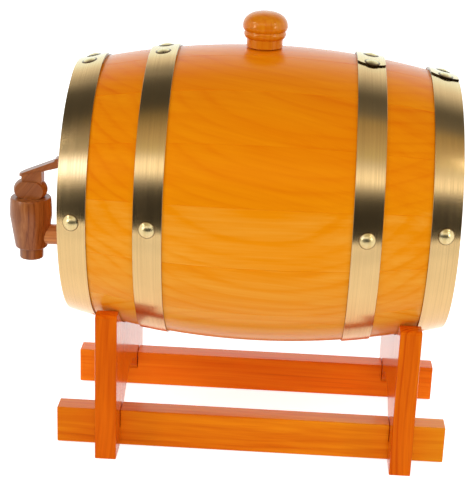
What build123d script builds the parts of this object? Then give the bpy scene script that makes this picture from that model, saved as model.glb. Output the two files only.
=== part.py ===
"""Wooden liquor cask with a brass-hooped barrel, a turned wooden tap and a cradle stand.

The cask lies on its side: its axis runs along Y, the tap looks towards -Y, +Z is up.
Every piece is built around the centre of the cask, then the whole part is set down so
that the middle of its bounding box stands over the origin on the table.  Sizes in mm.
"""
import os
from collections import namedtuple
from math import atan2, cos, degrees, radians, sin, sqrt, tan

from build123d import *

# ---- cask -----------------------------------------------------------------------
STAVE_LENGTH = 209.4        # end to end of the staves
BELLY_RADIUS = 83.7         # outside, at the middle of the cask
END_RADIUS = 70.2           # outside, at the ends of the staves
STAVE_THICKNESS = 9.0
STAVE_COUNT = 16
CHIME_BEVEL = 2.5           # inner corner taken off the stave ends
CHIME_DEPTH = 10.0          # how far a head lies inside the stave ends
CROZE_DEPTH = 3.0           # groove in the staves that holds a head
HEAD_THICKNESS = 8.0
HEAD_RIM = 4.0              # thickness of the head's bevelled edge
HEAD_BEVEL = 3.0            # width of that bevel
HEAD_BOARD = 46.0           # width of a head's middle board
HEAD_FIT = 0.05             # head edge in its groove

# ---- hoops, their rivets and nails ------------------------------------------------
HOOP_THICKNESS = 0.8
HOOP_FIT = 0.05             # hoop on the staves
HOOP_PROUD = 0.3            # end hoop beyond the ends of the staves
END_HOOP_WIDTH = 15.7
BELLY_HOOP_WIDTH = 15.4
BELLY_HOOP_INSET = 40.5     # from the stave ends to the outer edge of a belly hoop
LAP_FREE = 3.3              # strip beyond the rivet at its free end
LAP_COVER = 5.0             # doubled strip beyond the other rivet
LAP_RAMP = 6.0              # where the strip runs down onto the staves again
LAP_ROUND = 11.5            # radius of the rounded free end
FASTENER_FIT = 0.05         # shank in its hole, all round
FASTENER_SEAT = 0.05        # under a domed head
RIVET_HEAD = 8.7
RIVET_DOME = 1.1
RIVET_SHANK = 3.0
RIVET_PITCH = 16.0          # between the two rivets of a lap
NAIL_HEAD = 9.0
NAIL_DOME = 2.0
NAIL_SHANK = 1.8
NAIL_LENGTH = 6.5
NAIL_POINT = 2.0
NAIL_TIP = 0.5              # diameter of the blunted point

# ---- hand-set angles of each hoop, in degrees -------------------------------------
FRONT_END_LAP = -0.9        # middle of the lap, from straight above towards +X
FRONT_BELLY_LAP = 1.0
REAR_BELLY_LAP = 3.2
REAR_END_LAP = -2.6
FRONT_END_NAIL = 0.9        # nails above the height of the cask's axis
FRONT_BELLY_NAIL = 1.3
REAR_BELLY_NAIL = 1.4
REAR_END_NAIL = 3.0

# ---- bung ---------------------------------------------------------------------------
BUNG_OFFSET = 2.0           # bung hole in front of the middle of the cask
BUNG_TOP_RADIUS = 7.65      # tapered plug where it enters the stave
BUNG_TIP_RADIUS = 6.65
BUNG_PLUG_LENGTH = 18.0
BUNG_FIT = 0.05
BUNG_SEAT = 0.3             # neck above the stave
NECK_RADIUS = 9.9
NECK_HEIGHT = 3.3
BEAD_RADIUS = 11.5
BEAD_HEIGHT = 3.8
GROOVE_RADIUS = 10.9        # bottom of the groove between bead and knob
KNOB_BASE_RADIUS = 11.3
KNOB_RADIUS = 12.2
KNOB_RISE = 4.5             # from the bead to the widest part of the knob
KNOB_CAP = 8.1              # from the widest part to the top

# ---- tap ------------------------------------------------------------------------------
TAP_REACH = 28.1            # from the stave ends to the upright axis of the tap
TAP_DROP = 31.2             # shank below the cask axis
SHANK_RADIUS = 5.9
PEG_TIP_RADIUS = 5.2        # tapered end inside the cask
PEG_PROUD = 8.0             # peg beyond the inside of the head
PEG_FIT = 0.03
SHANK_SOCKET = 3.5          # shank let into the tap body
PASSAGE_RADIUS = 2.5        # liquor way through shank and key
BODY_ABOVE = 22.4           # tap body above the shank's axis
BODY_BELOW = 7.6            # tap body below the shank's axis
BODY_TOP_RADIUS = 11.7
BODY_RIM_CHAMFER = 0.8
BODY_WIDE_RADIUS = 12.2
BODY_WIDE_ABOVE = 11.8      # widest ring above the shank's axis
BODY_FOOT_RADIUS = 9.1
BODY_FOOT_CHAMFER = 0.6
SPOUT_RADIUS = 6.9
SPOUT_LENGTH = 6.9
SPOUT_ROUND = 0.8
SPOUT_BORE_RADIUS = 2.7
PLUG_TOP_RADIUS = 6.0       # tapered valve plug at the top of the tap body
PLUG_TIP_RADIUS = 4.9
PLUG_BELOW = 4.8            # plug below the shank's axis
PLUG_FIT = 0.05
PLUG_END_GAP = 0.4

# ---- tap key ----------------------------------------------------------------------------
KEY_SEAT = 0.3              # bead above the tap body
KEY_BEAD_RADIUS = 9.7
KEY_BEAD_HEIGHT = 9.6
KEY_BEAD_WIDE_ABOVE = 4.8   # widest ring above the foot of the bead
KEY_BEAD_FOOT_RADIUS = 7.9
KEY_BEAD_TOP_RADIUS = 6.2
KEY_FLATS = 10.8            # across the two flats
KEY_NECK_LENGTH = 11.6      # neck along Y
KEY_NECK_WIDTH = 8.6        # neck along X
KEY_NECK_SHIFT = 1.4        # neck towards the cask
KEY_NECK_ROOT = 3.0         # neck let into bead and lever
LEVER_WIDTH = 7.6
LEVER_FRONT = 6.3           # from the key's axis to the front tip
LEVER_BACK = 16.4           # from the key's axis to the back end
LEVER_ABOVE = 4.0           # top of the front tip above the bead
LEVER_FRONT_DEPTH = 1.5
LEVER_BACK_DEPTH = 3.3
LEVER_SLOPE = 22.5          # degrees
LIP_HEIGHT = 1.0
LIP_LENGTH = 1.8
LEVER_ROUND = 1.5

# ---- stand --------------------------------------------------------------------------------
AXIS_HEIGHT = 141.5         # cask axis above the table
BOARD_THICKNESS = 12.0
BOARD_HALF_WIDTH = 63.0
BOARD_SPREAD = 82.5         # half the distance between the two boards
BOARD_SHIFT = 2.4           # boards behind the middle of the cask
TIP_DROP = 54.5             # tips of the saddle below the cask axis
TIP_ROUND = 2.0
CRADLE_GAP = 0.3            # saddle under the staves
ARCH_HEIGHT = 29.5          # crown of the arch between the feet
ARCH_FOOT_HEIGHT = 14.0     # where the arch meets the rails
RAIL_HALF_LENGTH = 110.3
RAIL_THICKNESS = 12.0
RAIL_HEIGHT = 21.7
RAIL_CLEAR = 1.0            # rail above the table
RAIL_OUTER = 46.6           # middle of the stand to the outer face of a rail
RAIL_NOTCH = 10.8           # halving joint cut into the top of a rail
LAP_FIT = 0.1               # all round in the halving joints

# ---- worked out from the sizes above ----------------------------------------------------------
HALF = STAVE_LENGTH / 2
SWELL = BELLY_RADIUS - END_RADIUS
BOW = (HALF**2 + SWELL**2) / (2 * SWELL)      # radius of the staves' lengthwise curve
BOW_CENTRE = BELLY_RADIUS - BOW
STAVE_ANGLE = 360 / STAVE_COUNT
HEAD_FACE = HALF - CHIME_DEPTH                # outer face of a head
HEAD_BACK = HEAD_FACE - HEAD_THICKNESS
HOOP_EDGE = HALF + HOOP_PROUD
END_HOOP_AT = HOOP_EDGE - END_HOOP_WIDTH / 2
BELLY_HOOP_AT = HALF - BELLY_HOOP_INSET - BELLY_HOOP_WIDTH / 2
SHANK_Z = -TAP_DROP
TAP_Y = -HALF - TAP_REACH
BODY_TOP = SHANK_Z + BODY_ABOVE
BODY_FOOT = SHANK_Z - BODY_BELOW
SPOUT_END = BODY_FOOT - SPOUT_LENGTH
PLUG_END = SHANK_Z - PLUG_BELOW
TABLE = -AXIS_HEIGHT
RAIL_BOTTOM = TABLE + RAIL_CLEAR
RAIL_TOP = RAIL_BOTTOM + RAIL_HEIGHT
RAIL_INNER = RAIL_OUTER - RAIL_THICKNESS
FRONT_REACH = -TAP_Y + BODY_WIDE_RADIUS
SET_DOWN = Pos(0, (FRONT_REACH - RAIL_HALF_LENGTH) / 2, AXIS_HEIGHT)

Hoop = namedtuple("Hoop", "y width lap free_side nail")   # free_side: +1 where the free end looks to +X
HOOPS = {
    "front_end_hoop": Hoop(-END_HOOP_AT, END_HOOP_WIDTH, FRONT_END_LAP, -1, FRONT_END_NAIL),
    "front_belly_hoop": Hoop(-BELLY_HOOP_AT, BELLY_HOOP_WIDTH, FRONT_BELLY_LAP, -1, FRONT_BELLY_NAIL),
    "rear_belly_hoop": Hoop(BELLY_HOOP_AT, BELLY_HOOP_WIDTH, REAR_BELLY_LAP, 1, REAR_BELLY_NAIL),
    "rear_end_hoop": Hoop(END_HOOP_AT, END_HOOP_WIDTH, REAR_END_LAP, 1, REAR_END_NAIL),
}
BOARDS = {
    "front_cradle_board": BOARD_SHIFT - BOARD_SPREAD,
    "rear_cradle_board": BOARD_SHIFT + BOARD_SPREAD,
}


def skin_radius(y, lift=0.0):
    """Radius of the staves' outside at y, or of the curve lifted off it."""
    return BOW_CENTRE + sqrt((BOW + lift) ** 2 - y**2)


def bow_point(y, lift=0.0):
    return (skin_radius(y, lift), y)


def band(y_low, y_high, lift_low, lift_high):
    """Section of a strip that follows the lengthwise curve of the staves."""
    middle = (y_low + y_high) / 2
    with BuildSketch(Plane.XY) as section:
        with BuildLine():
            outer = ThreePointArc(
                bow_point(y_low, lift_high), bow_point(middle, lift_high), bow_point(y_high, lift_high)
            )
            inner = ThreePointArc(
                bow_point(y_low, lift_low), bow_point(middle, lift_low), bow_point(y_high, lift_low)
            )
            Line(outer @ 0, inner @ 0)
            Line(outer @ 1, inner @ 1)
        make_face()
    return section.sketch


def turned(section, start, arc):
    """Revolve a section about the cask axis; angles are measured from +X towards +Z."""
    solid = revolve(section, axis=Axis.Y, revolution_arc=arc)
    return Rot(0, -start - arc, 0) * solid


def on_skin(y, angle, lift=0.0):
    """Place on the staves' outside: its Z axis is the outward normal there."""
    reach = skin_radius(y)
    tilt = atan2(y, reach - BOW_CENTRE)
    turn = radians(angle)
    normal = (cos(tilt) * cos(turn), sin(tilt), cos(tilt) * sin(turn))
    foot = (reach * cos(turn), y, reach * sin(turn))
    spot = tuple(f + n * lift for f, n in zip(foot, normal))
    return Plane(origin=spot, x_dir=(-sin(turn), 0, cos(turn)), z_dir=normal).location


# ---- staves --------------------------------------------------------------------------------
def ring(radius_out, radius_in, y_low, y_high):
    """Plain ring about the cask axis."""
    outer = Cylinder(radius_out, y_high - y_low)
    inner = Cylinder(radius_in, y_high - y_low)
    return Pos(0, (y_low + y_high) / 2, 0) * Rot(90, 0, 0) * (outer - inner)


def inner_radius(y):
    return skin_radius(y, -STAVE_THICKNESS)


def croze_tool(side):
    """Ring that cuts the head's groove; its faces clear the head's rim."""
    middle = side * (HEAD_FACE - HEAD_THICKNESS / 2)
    half = HEAD_RIM / 2 + HEAD_FIT
    bottom = inner_radius(middle) + CROZE_DEPTH
    return ring(bottom, bottom - 2 * CROZE_DEPTH, middle - half, middle + half)


def chime_tool(side):
    """Cone that takes the inner corner off the stave ends."""
    mouth = inner_radius(HALF) + CHIME_BEVEL
    depth = 2 * CHIME_BEVEL
    cone = Cone(mouth - depth, mouth, depth)
    cone = Pos(0, HALF - depth / 2, 0) * Rot(-90, 0, 0) * cone
    return cone if side > 0 else mirror(cone, about=Plane.XZ)


def stave_blank():
    """One stave, centred on +X."""
    stave = turned(band(-HALF, HALF, -STAVE_THICKNESS, 0), -STAVE_ANGLE / 2, STAVE_ANGLE)
    for side in (-1, 1):
        stave = stave - croze_tool(side)
        stave = stave - chime_tool(side)
    return stave


def stave_angle(index):
    """Middle of a stave; they are numbered from the bung stave at the top towards +X."""
    return 90 - index * STAVE_ANGLE


def stave_near(angle):
    """Number of the stave whose middle is closest to an angle."""
    return round((90 - angle) / STAVE_ANGLE) % STAVE_COUNT


def nail_angles(hoop):
    """One nail on each flank."""
    return (hoop.nail, 180 - hoop.nail)


def nail_hole(hoop, angle):
    return fastener_hole(hoop.y, angle, NAIL_SHANK, NAIL_LENGTH)


def make_staves():
    blank = stave_blank()
    staves = [Rot(0, -stave_angle(i), 0) * blank for i in range(STAVE_COUNT)]
    for hoop in HOOPS.values():
        for angle in nail_angles(hoop):
            index = stave_near(angle)
            staves[index] = staves[index] - nail_hole(hoop, angle)
    staves[0] = staves[0] - bung_hole()
    return staves


# ---- heads ---------------------------------------------------------------------------------
def head_disc(side):
    """Round head with its edge bevelled on both faces to fit the groove."""
    middle = HEAD_FACE - HEAD_THICKNESS / 2
    rim = inner_radius(middle) + CROZE_DEPTH - HEAD_FIT
    shoulder = inner_radius(HEAD_FACE) - HEAD_BEVEL
    lip = inner_radius(HEAD_FACE) - HEAD_FIT
    step = (HEAD_THICKNESS - HEAD_RIM) / 2
    with BuildSketch(Plane.XY) as section:
        Polygon(
            (0, HEAD_BACK), (shoulder, HEAD_BACK), (lip, HEAD_BACK + step), (rim, HEAD_BACK + step),
            (rim, HEAD_FACE - step), (lip, HEAD_FACE - step), (shoulder, HEAD_FACE), (0, HEAD_FACE),
            align=None,
        )
    disc = revolve(section.sketch, axis=Axis.Y)
    return disc if side > 0 else mirror(disc, about=Plane.XZ)


def head_boards(side):
    """Middle, left and right board of one head."""
    disc = head_disc(side)
    span = 2 * BELLY_RADIUS
    middle = disc & Box(HEAD_BOARD, 2 * span, span)
    offset = (HEAD_BOARD + span) / 2
    left = disc & (Pos(-offset, 0, 0) * Box(span, 2 * span, span))
    right = disc & (Pos(offset, 0, 0) * Box(span, 2 * span, span))
    return middle, left, right


# ---- hoops ---------------------------------------------------------------------------------
def angle_along(length, y):
    """Angle about the cask axis that a length along a hoop covers."""
    return degrees(length / skin_radius(y, HOOP_THICKNESS))


def lap_angle(hoop):
    return 90 - hoop.lap


def rivet_angles(hoop):
    half = angle_along(RIVET_PITCH / 2, hoop.y)
    return (lap_angle(hoop) - half, lap_angle(hoop) + half)


def fastener_hole(y, angle, shank, depth):
    """Hole square to the hoop, from above the lap to a depth below the staves' outside."""
    above = 4 * HOOP_THICKNESS
    length = above + depth + 2 * FASTENER_FIT
    tool = Cylinder(shank / 2 + FASTENER_FIT, length)
    return on_skin(y, angle, above - length / 2) * tool


def lap_outline():
    """Flat shape of the doubled strip, round at its free end, which looks towards -X."""
    free = RIVET_PITCH / 2 + LAP_FREE
    far = RIVET_PITCH / 2 + LAP_COVER + LAP_RAMP
    centre = LAP_ROUND - free
    straight = Pos((centre + far) / 2, 0) * Rectangle(far - centre, 2 * LAP_ROUND)
    return extrude(straight + Pos(centre, 0) * Circle(LAP_ROUND), amount=LAP_ROUND, both=True)


def lap_ramp():
    """Block above the slope on which the doubled strip runs down to the hoop."""
    far = RIVET_PITCH / 2 + LAP_COVER + LAP_RAMP
    size = 4 * LAP_RAMP
    slope = degrees(atan2(HOOP_THICKNESS, LAP_RAMP))
    return Pos(far, 0, 0) * Rot(0, slope, 0) * Pos(0, 0, size / 2) * Box(size, size, size)


def make_lap(hoop):
    """Second layer of the strip over its own end."""
    base = HOOP_FIT + HOOP_THICKNESS
    low = hoop.y - hoop.width / 2
    high = hoop.y + hoop.width / 2
    reach = angle_along(RIVET_PITCH + LAP_COVER + LAP_RAMP, hoop.y)
    section = band(low, high, base - HOOP_THICKNESS / 2, base + HOOP_THICKNESS)
    layer = turned(section, lap_angle(hoop) - reach, 2 * reach)
    outline = lap_outline()
    ramp_drop = angle_along(RIVET_PITCH / 2 + LAP_COVER + LAP_RAMP, hoop.y)
    end = on_skin(hoop.y, lap_angle(hoop) + hoop.free_side * ramp_drop, base)
    ramp = Pos(-(RIVET_PITCH / 2 + LAP_COVER + LAP_RAMP), 0, 0) * lap_ramp()
    if hoop.free_side < 0:
        outline = mirror(outline, about=Plane.YZ)
        ramp = mirror(ramp, about=Plane.YZ)
    return (layer & (on_skin(hoop.y, lap_angle(hoop)) * outline)) - end * ramp


def make_hoop(hoop):
    """Closed strip with a doubled lap at the top."""
    low = hoop.y - hoop.width / 2
    high = hoop.y + hoop.width / 2
    strip = revolve(band(low, high, HOOP_FIT, HOOP_FIT + HOOP_THICKNESS), axis=Axis.Y)
    ring_shape = strip + make_lap(hoop)
    for angle in rivet_angles(hoop):
        ring_shape = ring_shape - fastener_hole(hoop.y, angle, RIVET_SHANK, HOOP_THICKNESS)
    for angle in nail_angles(hoop):
        ring_shape = ring_shape - nail_hole(hoop, angle)
    return ring_shape


def domed_head(diameter, height):
    """Shallow dome with its flat side on the ground plane."""
    radius = diameter / 2
    ball = (radius**2 + height**2) / (2 * height)
    dome = Pos(0, 0, height - ball) * Sphere(ball)
    keep = Pos(0, 0, ball) * Box(4 * ball, 4 * ball, 2 * ball)
    return dome & keep


def rivet():
    """Domed rivet; its shank ends flush with the inside of the hoop."""
    length = 2 * HOOP_THICKNESS + FASTENER_SEAT
    shank = Pos(0, 0, -length / 2) * Cylinder(RIVET_SHANK / 2, length)
    return domed_head(RIVET_HEAD, RIVET_DOME) + shank


def nail():
    """Domed nail with a pointed shank that goes through the hoop into a stave."""
    straight = NAIL_LENGTH - NAIL_POINT
    shank = Pos(0, 0, -straight / 2) * Cylinder(NAIL_SHANK / 2, straight)
    point = Pos(0, 0, -straight - NAIL_POINT / 2) * Cone(NAIL_TIP / 2, NAIL_SHANK / 2, NAIL_POINT)
    return domed_head(NAIL_HEAD, NAIL_DOME) + shank + point


def make_lap_rivets():
    lift = HOOP_FIT + 2 * HOOP_THICKNESS + FASTENER_SEAT
    rivets = []
    for hoop in HOOPS.values():
        for angle in rivet_angles(hoop):
            rivets.append(on_skin(hoop.y, angle, lift) * rivet())
    return Compound(children=rivets)


def make_hoop_nails():
    lift = HOOP_FIT + HOOP_THICKNESS + FASTENER_SEAT
    nails = []
    for hoop in HOOPS.values():
        for angle in nail_angles(hoop):
            nails.append(on_skin(hoop.y, angle, lift) * nail())
    return Compound(children=nails)


# ---- bung ----------------------------------------------------------------------------------
def spindle(*points):
    """Straight-sided turning about Z from (radius, height) points."""
    with BuildSketch(Plane.XZ) as section:
        Polygon(*points, align=None)
    return revolve(section.sketch, axis=Axis.Z)


def bung_hole():
    """Tapered hole through the top stave, a little wider than the plug."""
    middle = BELLY_RADIUS + BUNG_SEAT - BUNG_PLUG_LENGTH / 2
    tool = Cone(BUNG_TIP_RADIUS + BUNG_FIT, BUNG_TOP_RADIUS + BUNG_FIT, BUNG_PLUG_LENGTH)
    return Pos(0, -BUNG_OFFSET, middle) * tool


def bung_levels():
    """Heights of the neck's foot, the neck's top, the bead's top and the knob's widest ring."""
    neck_foot = BELLY_RADIUS + BUNG_SEAT
    neck_top = neck_foot + NECK_HEIGHT
    bead_top = neck_top + BEAD_HEIGHT
    return neck_foot, neck_top, bead_top, bead_top + KNOB_RISE


def bung_foot():
    """Tapered plug, neck and bead."""
    neck_foot, neck_top, bead_top, widest = bung_levels()
    tip = neck_foot - BUNG_PLUG_LENGTH
    with BuildSketch(Plane.XZ) as section:
        with BuildLine():
            Polyline(
                (GROOVE_RADIUS, bead_top), (0, bead_top), (0, tip), (BUNG_TIP_RADIUS, tip),
                (BUNG_TOP_RADIUS, neck_foot), (NECK_RADIUS, neck_foot), (NECK_RADIUS, neck_top),
            )
            ThreePointArc(
                (NECK_RADIUS, neck_top), (BEAD_RADIUS, (neck_top + bead_top) / 2), (GROOVE_RADIUS, bead_top)
            )
        make_face()
    return revolve(section.sketch, axis=Axis.Z)


def bung_knob():
    """Mushroom knob above the bead."""
    neck_foot, neck_top, bead_top, widest = bung_levels()
    top = widest + KNOB_CAP
    with BuildSketch(Plane.XZ) as section:
        with BuildLine():
            Polyline((0, top), (0, bead_top), (KNOB_BASE_RADIUS, bead_top))
            Spline((KNOB_BASE_RADIUS, bead_top), (KNOB_RADIUS, widest), tangents=[(1, 2), (0, 1)])
            Spline((KNOB_RADIUS, widest), (0, top), tangents=[(0, 1), (-1, 0)])
        make_face()
    return revolve(section.sketch, axis=Axis.Z)


def make_bung():
    """Knob, bead, neck and plug are turned in one piece."""
    return Pos(0, -BUNG_OFFSET, 0) * (bung_foot() + bung_knob())


# ---- tap -----------------------------------------------------------------------------------
def plug_radius(z):
    """Radius of the tapered valve plug at a height."""
    share = (BODY_TOP - z) / (BODY_TOP - PLUG_END)
    return PLUG_TOP_RADIUS - share * (PLUG_TOP_RADIUS - PLUG_TIP_RADIUS)


def along_y(radius, y_low, y_high):
    """Round bar along Y at the height of the shank."""
    return Pos(0, (y_low + y_high) / 2, SHANK_Z) * Rot(90, 0, 0) * Cylinder(radius, y_high - y_low)


def socket_bottom():
    """Deepest point of the shank's socket in the tap body."""
    share = (BODY_WIDE_ABOVE) / (BODY_WIDE_ABOVE + BODY_BELOW)
    wall = BODY_WIDE_RADIUS - share * (BODY_WIDE_RADIUS - BODY_FOOT_RADIUS)
    return TAP_Y + wall - SHANK_SOCKET


def make_tap_body():
    """Turned body with the spout below, bored for the key and for the shank."""
    wide = SHANK_Z + BODY_WIDE_ABOVE
    outside = spindle(
        (0, BODY_TOP), (BODY_TOP_RADIUS - BODY_RIM_CHAMFER, BODY_TOP),
        (BODY_TOP_RADIUS, BODY_TOP - BODY_RIM_CHAMFER), (BODY_WIDE_RADIUS, wide),
        (BODY_FOOT_RADIUS, BODY_FOOT + BODY_FOOT_CHAMFER),
        (BODY_FOOT_RADIUS - BODY_FOOT_CHAMFER, BODY_FOOT), (SPOUT_RADIUS, BODY_FOOT),
        (SPOUT_RADIUS, SPOUT_END + SPOUT_ROUND), (SPOUT_RADIUS - SPOUT_ROUND, SPOUT_END), (0, SPOUT_END),
    )
    floor = PLUG_END - PLUG_END_GAP
    bore = spindle(
        (0, BODY_TOP), (PLUG_TOP_RADIUS + PLUG_FIT, BODY_TOP), (plug_radius(floor) + PLUG_FIT, floor),
        (SPOUT_BORE_RADIUS, floor), (SPOUT_BORE_RADIUS, SPOUT_END), (0, SPOUT_END),
    )
    body = Pos(0, TAP_Y, 0) * (outside - bore)
    body = body - along_y(SHANK_RADIUS + PEG_FIT, socket_bottom(), -HALF)
    return body - along_y(PASSAGE_RADIUS, TAP_Y, -HALF)


def make_tap_shank():
    """Round peg from the tap body, tapered where it is driven into the front head."""
    face = -HEAD_FACE
    tip = -HEAD_BACK + PEG_PROUD
    peg = Cone(SHANK_RADIUS, PEG_TIP_RADIUS, tip - face)
    peg = Pos(0, (face + tip) / 2, SHANK_Z) * Rot(-90, 0, 0) * peg
    shank = along_y(SHANK_RADIUS, socket_bottom() + PEG_FIT, face) + peg
    return shank - along_y(PASSAGE_RADIUS, TAP_Y, HALF)


def tap_hole():
    """Tapered hole in the front head for the peg."""
    face = -HEAD_FACE
    tip = -HEAD_BACK + PEG_PROUD
    tool = Cone(SHANK_RADIUS + PEG_FIT, PEG_TIP_RADIUS + PEG_FIT, tip - face)
    return Pos(0, (face + tip) / 2, SHANK_Z) * Rot(-90, 0, 0) * tool


def key_plug():
    """Tapered plug with an elbow-shaped way: in from one side, out at the bottom."""
    head_room = BODY_TOP + KEY_SEAT
    plug = spindle(
        (0, head_room), (PLUG_TOP_RADIUS, head_room), (PLUG_TOP_RADIUS, BODY_TOP),
        (PLUG_TIP_RADIUS, PLUG_END), (0, PLUG_END),
    )
    way = Cylinder(PASSAGE_RADIUS, 2 * PLUG_TOP_RADIUS)
    side_way = Pos(PLUG_TOP_RADIUS, 0, SHANK_Z) * Rot(0, 90, 0) * way
    down_way = Pos(0, 0, (SHANK_Z + PLUG_END) / 2) * Cylinder(PASSAGE_RADIUS, SHANK_Z - PLUG_END)
    return plug - side_way - down_way


def key_bead():
    """Turned bead with a flat on each side."""
    foot = BODY_TOP + KEY_SEAT
    top = foot + KEY_BEAD_HEIGHT
    with BuildSketch(Plane.XZ) as section:
        with BuildLine():
            Polyline((KEY_BEAD_TOP_RADIUS, top), (0, top), (0, foot), (KEY_BEAD_FOOT_RADIUS, foot))
            ThreePointArc(
                (KEY_BEAD_FOOT_RADIUS, foot), (KEY_BEAD_RADIUS, foot + KEY_BEAD_WIDE_ABOVE),
                (KEY_BEAD_TOP_RADIUS, top),
            )
        make_face()
    bead = revolve(section.sketch, axis=Axis.Z)
    return bead & Box(KEY_FLATS, 4 * KEY_BEAD_RADIUS, 4 * BODY_ABOVE + 4 * KEY_BEAD_HEIGHT)


def lever_top(y):
    """Height of the lever's upper face at a distance behind the key's axis."""
    tip = BODY_TOP + KEY_SEAT + KEY_BEAD_HEIGHT + LEVER_ABOVE
    return tip + tan(radians(LEVER_SLOPE)) * (y + LEVER_FRONT)


def lever_bottom(y):
    """Height of the lever's lower face; it runs steadily from the thin tip to the deep end."""
    share = (y + LEVER_FRONT) / (LEVER_FRONT + LEVER_BACK)
    depth = LEVER_FRONT_DEPTH + share * (LEVER_BACK_DEPTH - LEVER_FRONT_DEPTH)
    return lever_top(y) - depth


def key_lever():
    """Inclined lever that rises towards the cask, with a small lip at its high end."""
    lip_start = LEVER_BACK - LIP_LENGTH
    with BuildSketch(Plane.YZ) as side:
        Polygon(
            (-LEVER_FRONT, lever_bottom(-LEVER_FRONT)), (LEVER_BACK, lever_bottom(LEVER_BACK)),
            (LEVER_BACK, lever_top(LEVER_BACK) + LIP_HEIGHT), (lip_start, lever_top(lip_start) + LIP_HEIGHT),
            (lip_start, lever_top(lip_start)), (-LEVER_FRONT, lever_top(-LEVER_FRONT)),
            align=None,
        )
    lever = extrude(side.sketch, amount=LEVER_WIDTH / 2, both=True)
    corners = lever.edges().filter_by(Axis.Z).sort_by(Axis.Y)
    return fillet(corners[-2:], LEVER_ROUND)


def key_neck():
    """Neck between bead and lever."""
    low = BODY_TOP + KEY_SEAT + KEY_BEAD_HEIGHT - KEY_NECK_ROOT
    front = KEY_NECK_SHIFT - KEY_NECK_LENGTH / 2
    back = KEY_NECK_SHIFT + KEY_NECK_LENGTH / 2
    inset = LEVER_FRONT_DEPTH / 2
    with BuildSketch(Plane.YZ) as side:
        Polygon(
            (front, low), (back, low), (back, lever_bottom(back) + inset),
            (front, lever_bottom(front) + inset), align=None,
        )
    return extrude(side.sketch, amount=KEY_NECK_WIDTH / 2, both=True)


def make_tap_key():
    return Pos(0, TAP_Y, 0) * (key_plug() + key_bead() + key_neck() + key_lever())


# ---- stand ---------------------------------------------------------------------------------
def cradle_radius(y):
    """Saddle that takes the staves at the inner face of a board."""
    return skin_radius(abs(y) - BOARD_THICKNESS / 2) + CRADLE_GAP


def arch_radius():
    rise = ARCH_HEIGHT - ARCH_FOOT_HEIGHT
    return (RAIL_INNER**2 + rise**2) / (2 * rise)


def lap_slot(side):
    """Slot from below that takes the lower half of a rail."""
    top = RAIL_TOP - RAIL_NOTCH + LAP_FIT
    width = RAIL_THICKNESS + 2 * LAP_FIT
    height = top - TABLE + BOARD_THICKNESS
    middle = side * (RAIL_OUTER + RAIL_INNER) / 2
    return Pos(middle, 0, top - height / 2) * Box(width, 2 * BOARD_THICKNESS, height)


def make_board(y):
    """Cradle board: saddle above, two feet below with an arch between them."""
    height = AXIS_HEIGHT - TIP_DROP
    board = Pos(0, 0, TABLE + height / 2) * Box(2 * BOARD_HALF_WIDTH, BOARD_THICKNESS, height)
    corners = board.edges().filter_by(Axis.Y).sort_by(Axis.Z)
    board = fillet(corners[-2:], TIP_ROUND)
    saddle = Rot(90, 0, 0) * Cylinder(cradle_radius(y), 2 * BOARD_THICKNESS)
    board = board - saddle
    crown = TABLE + ARCH_HEIGHT
    arch = Pos(0, 0, crown - arch_radius()) * Rot(90, 0, 0) * Cylinder(arch_radius(), 2 * BOARD_THICKNESS)
    below = Pos(0, 0, TABLE) * Box(2 * (RAIL_INNER - LAP_FIT), 2 * BOARD_THICKNESS, 2 * ARCH_HEIGHT)
    board = board - (arch & below)
    board = board - Pos(0, 0, TABLE) * Box(2 * RAIL_INNER, 2 * BOARD_THICKNESS, 2 * ARCH_FOOT_HEIGHT)
    for side in (-1, 1):
        board = board - lap_slot(side)
    return Pos(0, y, 0) * board


def make_rail(side):
    """Long rail, halved from above where it crosses each board."""
    middle = side * (RAIL_OUTER + RAIL_INNER) / 2
    bar = Box(RAIL_THICKNESS, 2 * RAIL_HALF_LENGTH, RAIL_HEIGHT)
    rail = Pos(middle, 0, (RAIL_TOP + RAIL_BOTTOM) / 2) * bar
    for y in BOARDS.values():
        notch = Box(2 * RAIL_THICKNESS, BOARD_THICKNESS + 2 * LAP_FIT, 2 * RAIL_NOTCH)
        rail = rail - Pos(middle, y, RAIL_TOP) * notch
    return rail


# ---- whole part ------------------------------------------------------------------------------
def make_nodes():
    nodes = {}
    for index, stave in enumerate(make_staves()):
        nodes[f"stave_{index:02d}" if index else "bung_stave"] = stave
    for place, side in (("front", -1), ("rear", 1)):
        boards = head_boards(side)
        for which, board in zip(("middle", "left", "right"), boards):
            nodes[f"{place}_head_{which}_board"] = board
    nodes["front_head_middle_board"] = nodes["front_head_middle_board"] - tap_hole()
    for name, hoop in HOOPS.items():
        nodes[name] = make_hoop(hoop)
    nodes["lap_rivets"] = make_lap_rivets()
    nodes["hoop_nails"] = make_hoop_nails()
    nodes["bung"] = make_bung()
    nodes["tap_body"] = make_tap_body()
    nodes["tap_shank"] = make_tap_shank()
    nodes["tap_key"] = make_tap_key()
    for name, y in BOARDS.items():
        nodes[name] = make_board(y)
    nodes["left_rail"] = make_rail(-1)
    nodes["right_rail"] = make_rail(1)
    return nodes


def main():
    os.makedirs("parts", exist_ok=True)
    for name, shape in make_nodes().items():
        export_step(SET_DOWN * shape, f"parts/{name}.step")
        print(name, round(shape.volume, 1))


main()
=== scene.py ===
# %% [markdown]
# # A small oak cask with its tap and cradle stand
# The cask lies on its side in a stand of four crossed pieces of wood.  Sixteen bent
# staves and two heads are held by four brass hoops; a turned tap is driven into the
# front head and a mushroom bung closes the hole at the top.  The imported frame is
# loaded first: it says where every solid is, and everything made below goes there.

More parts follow.
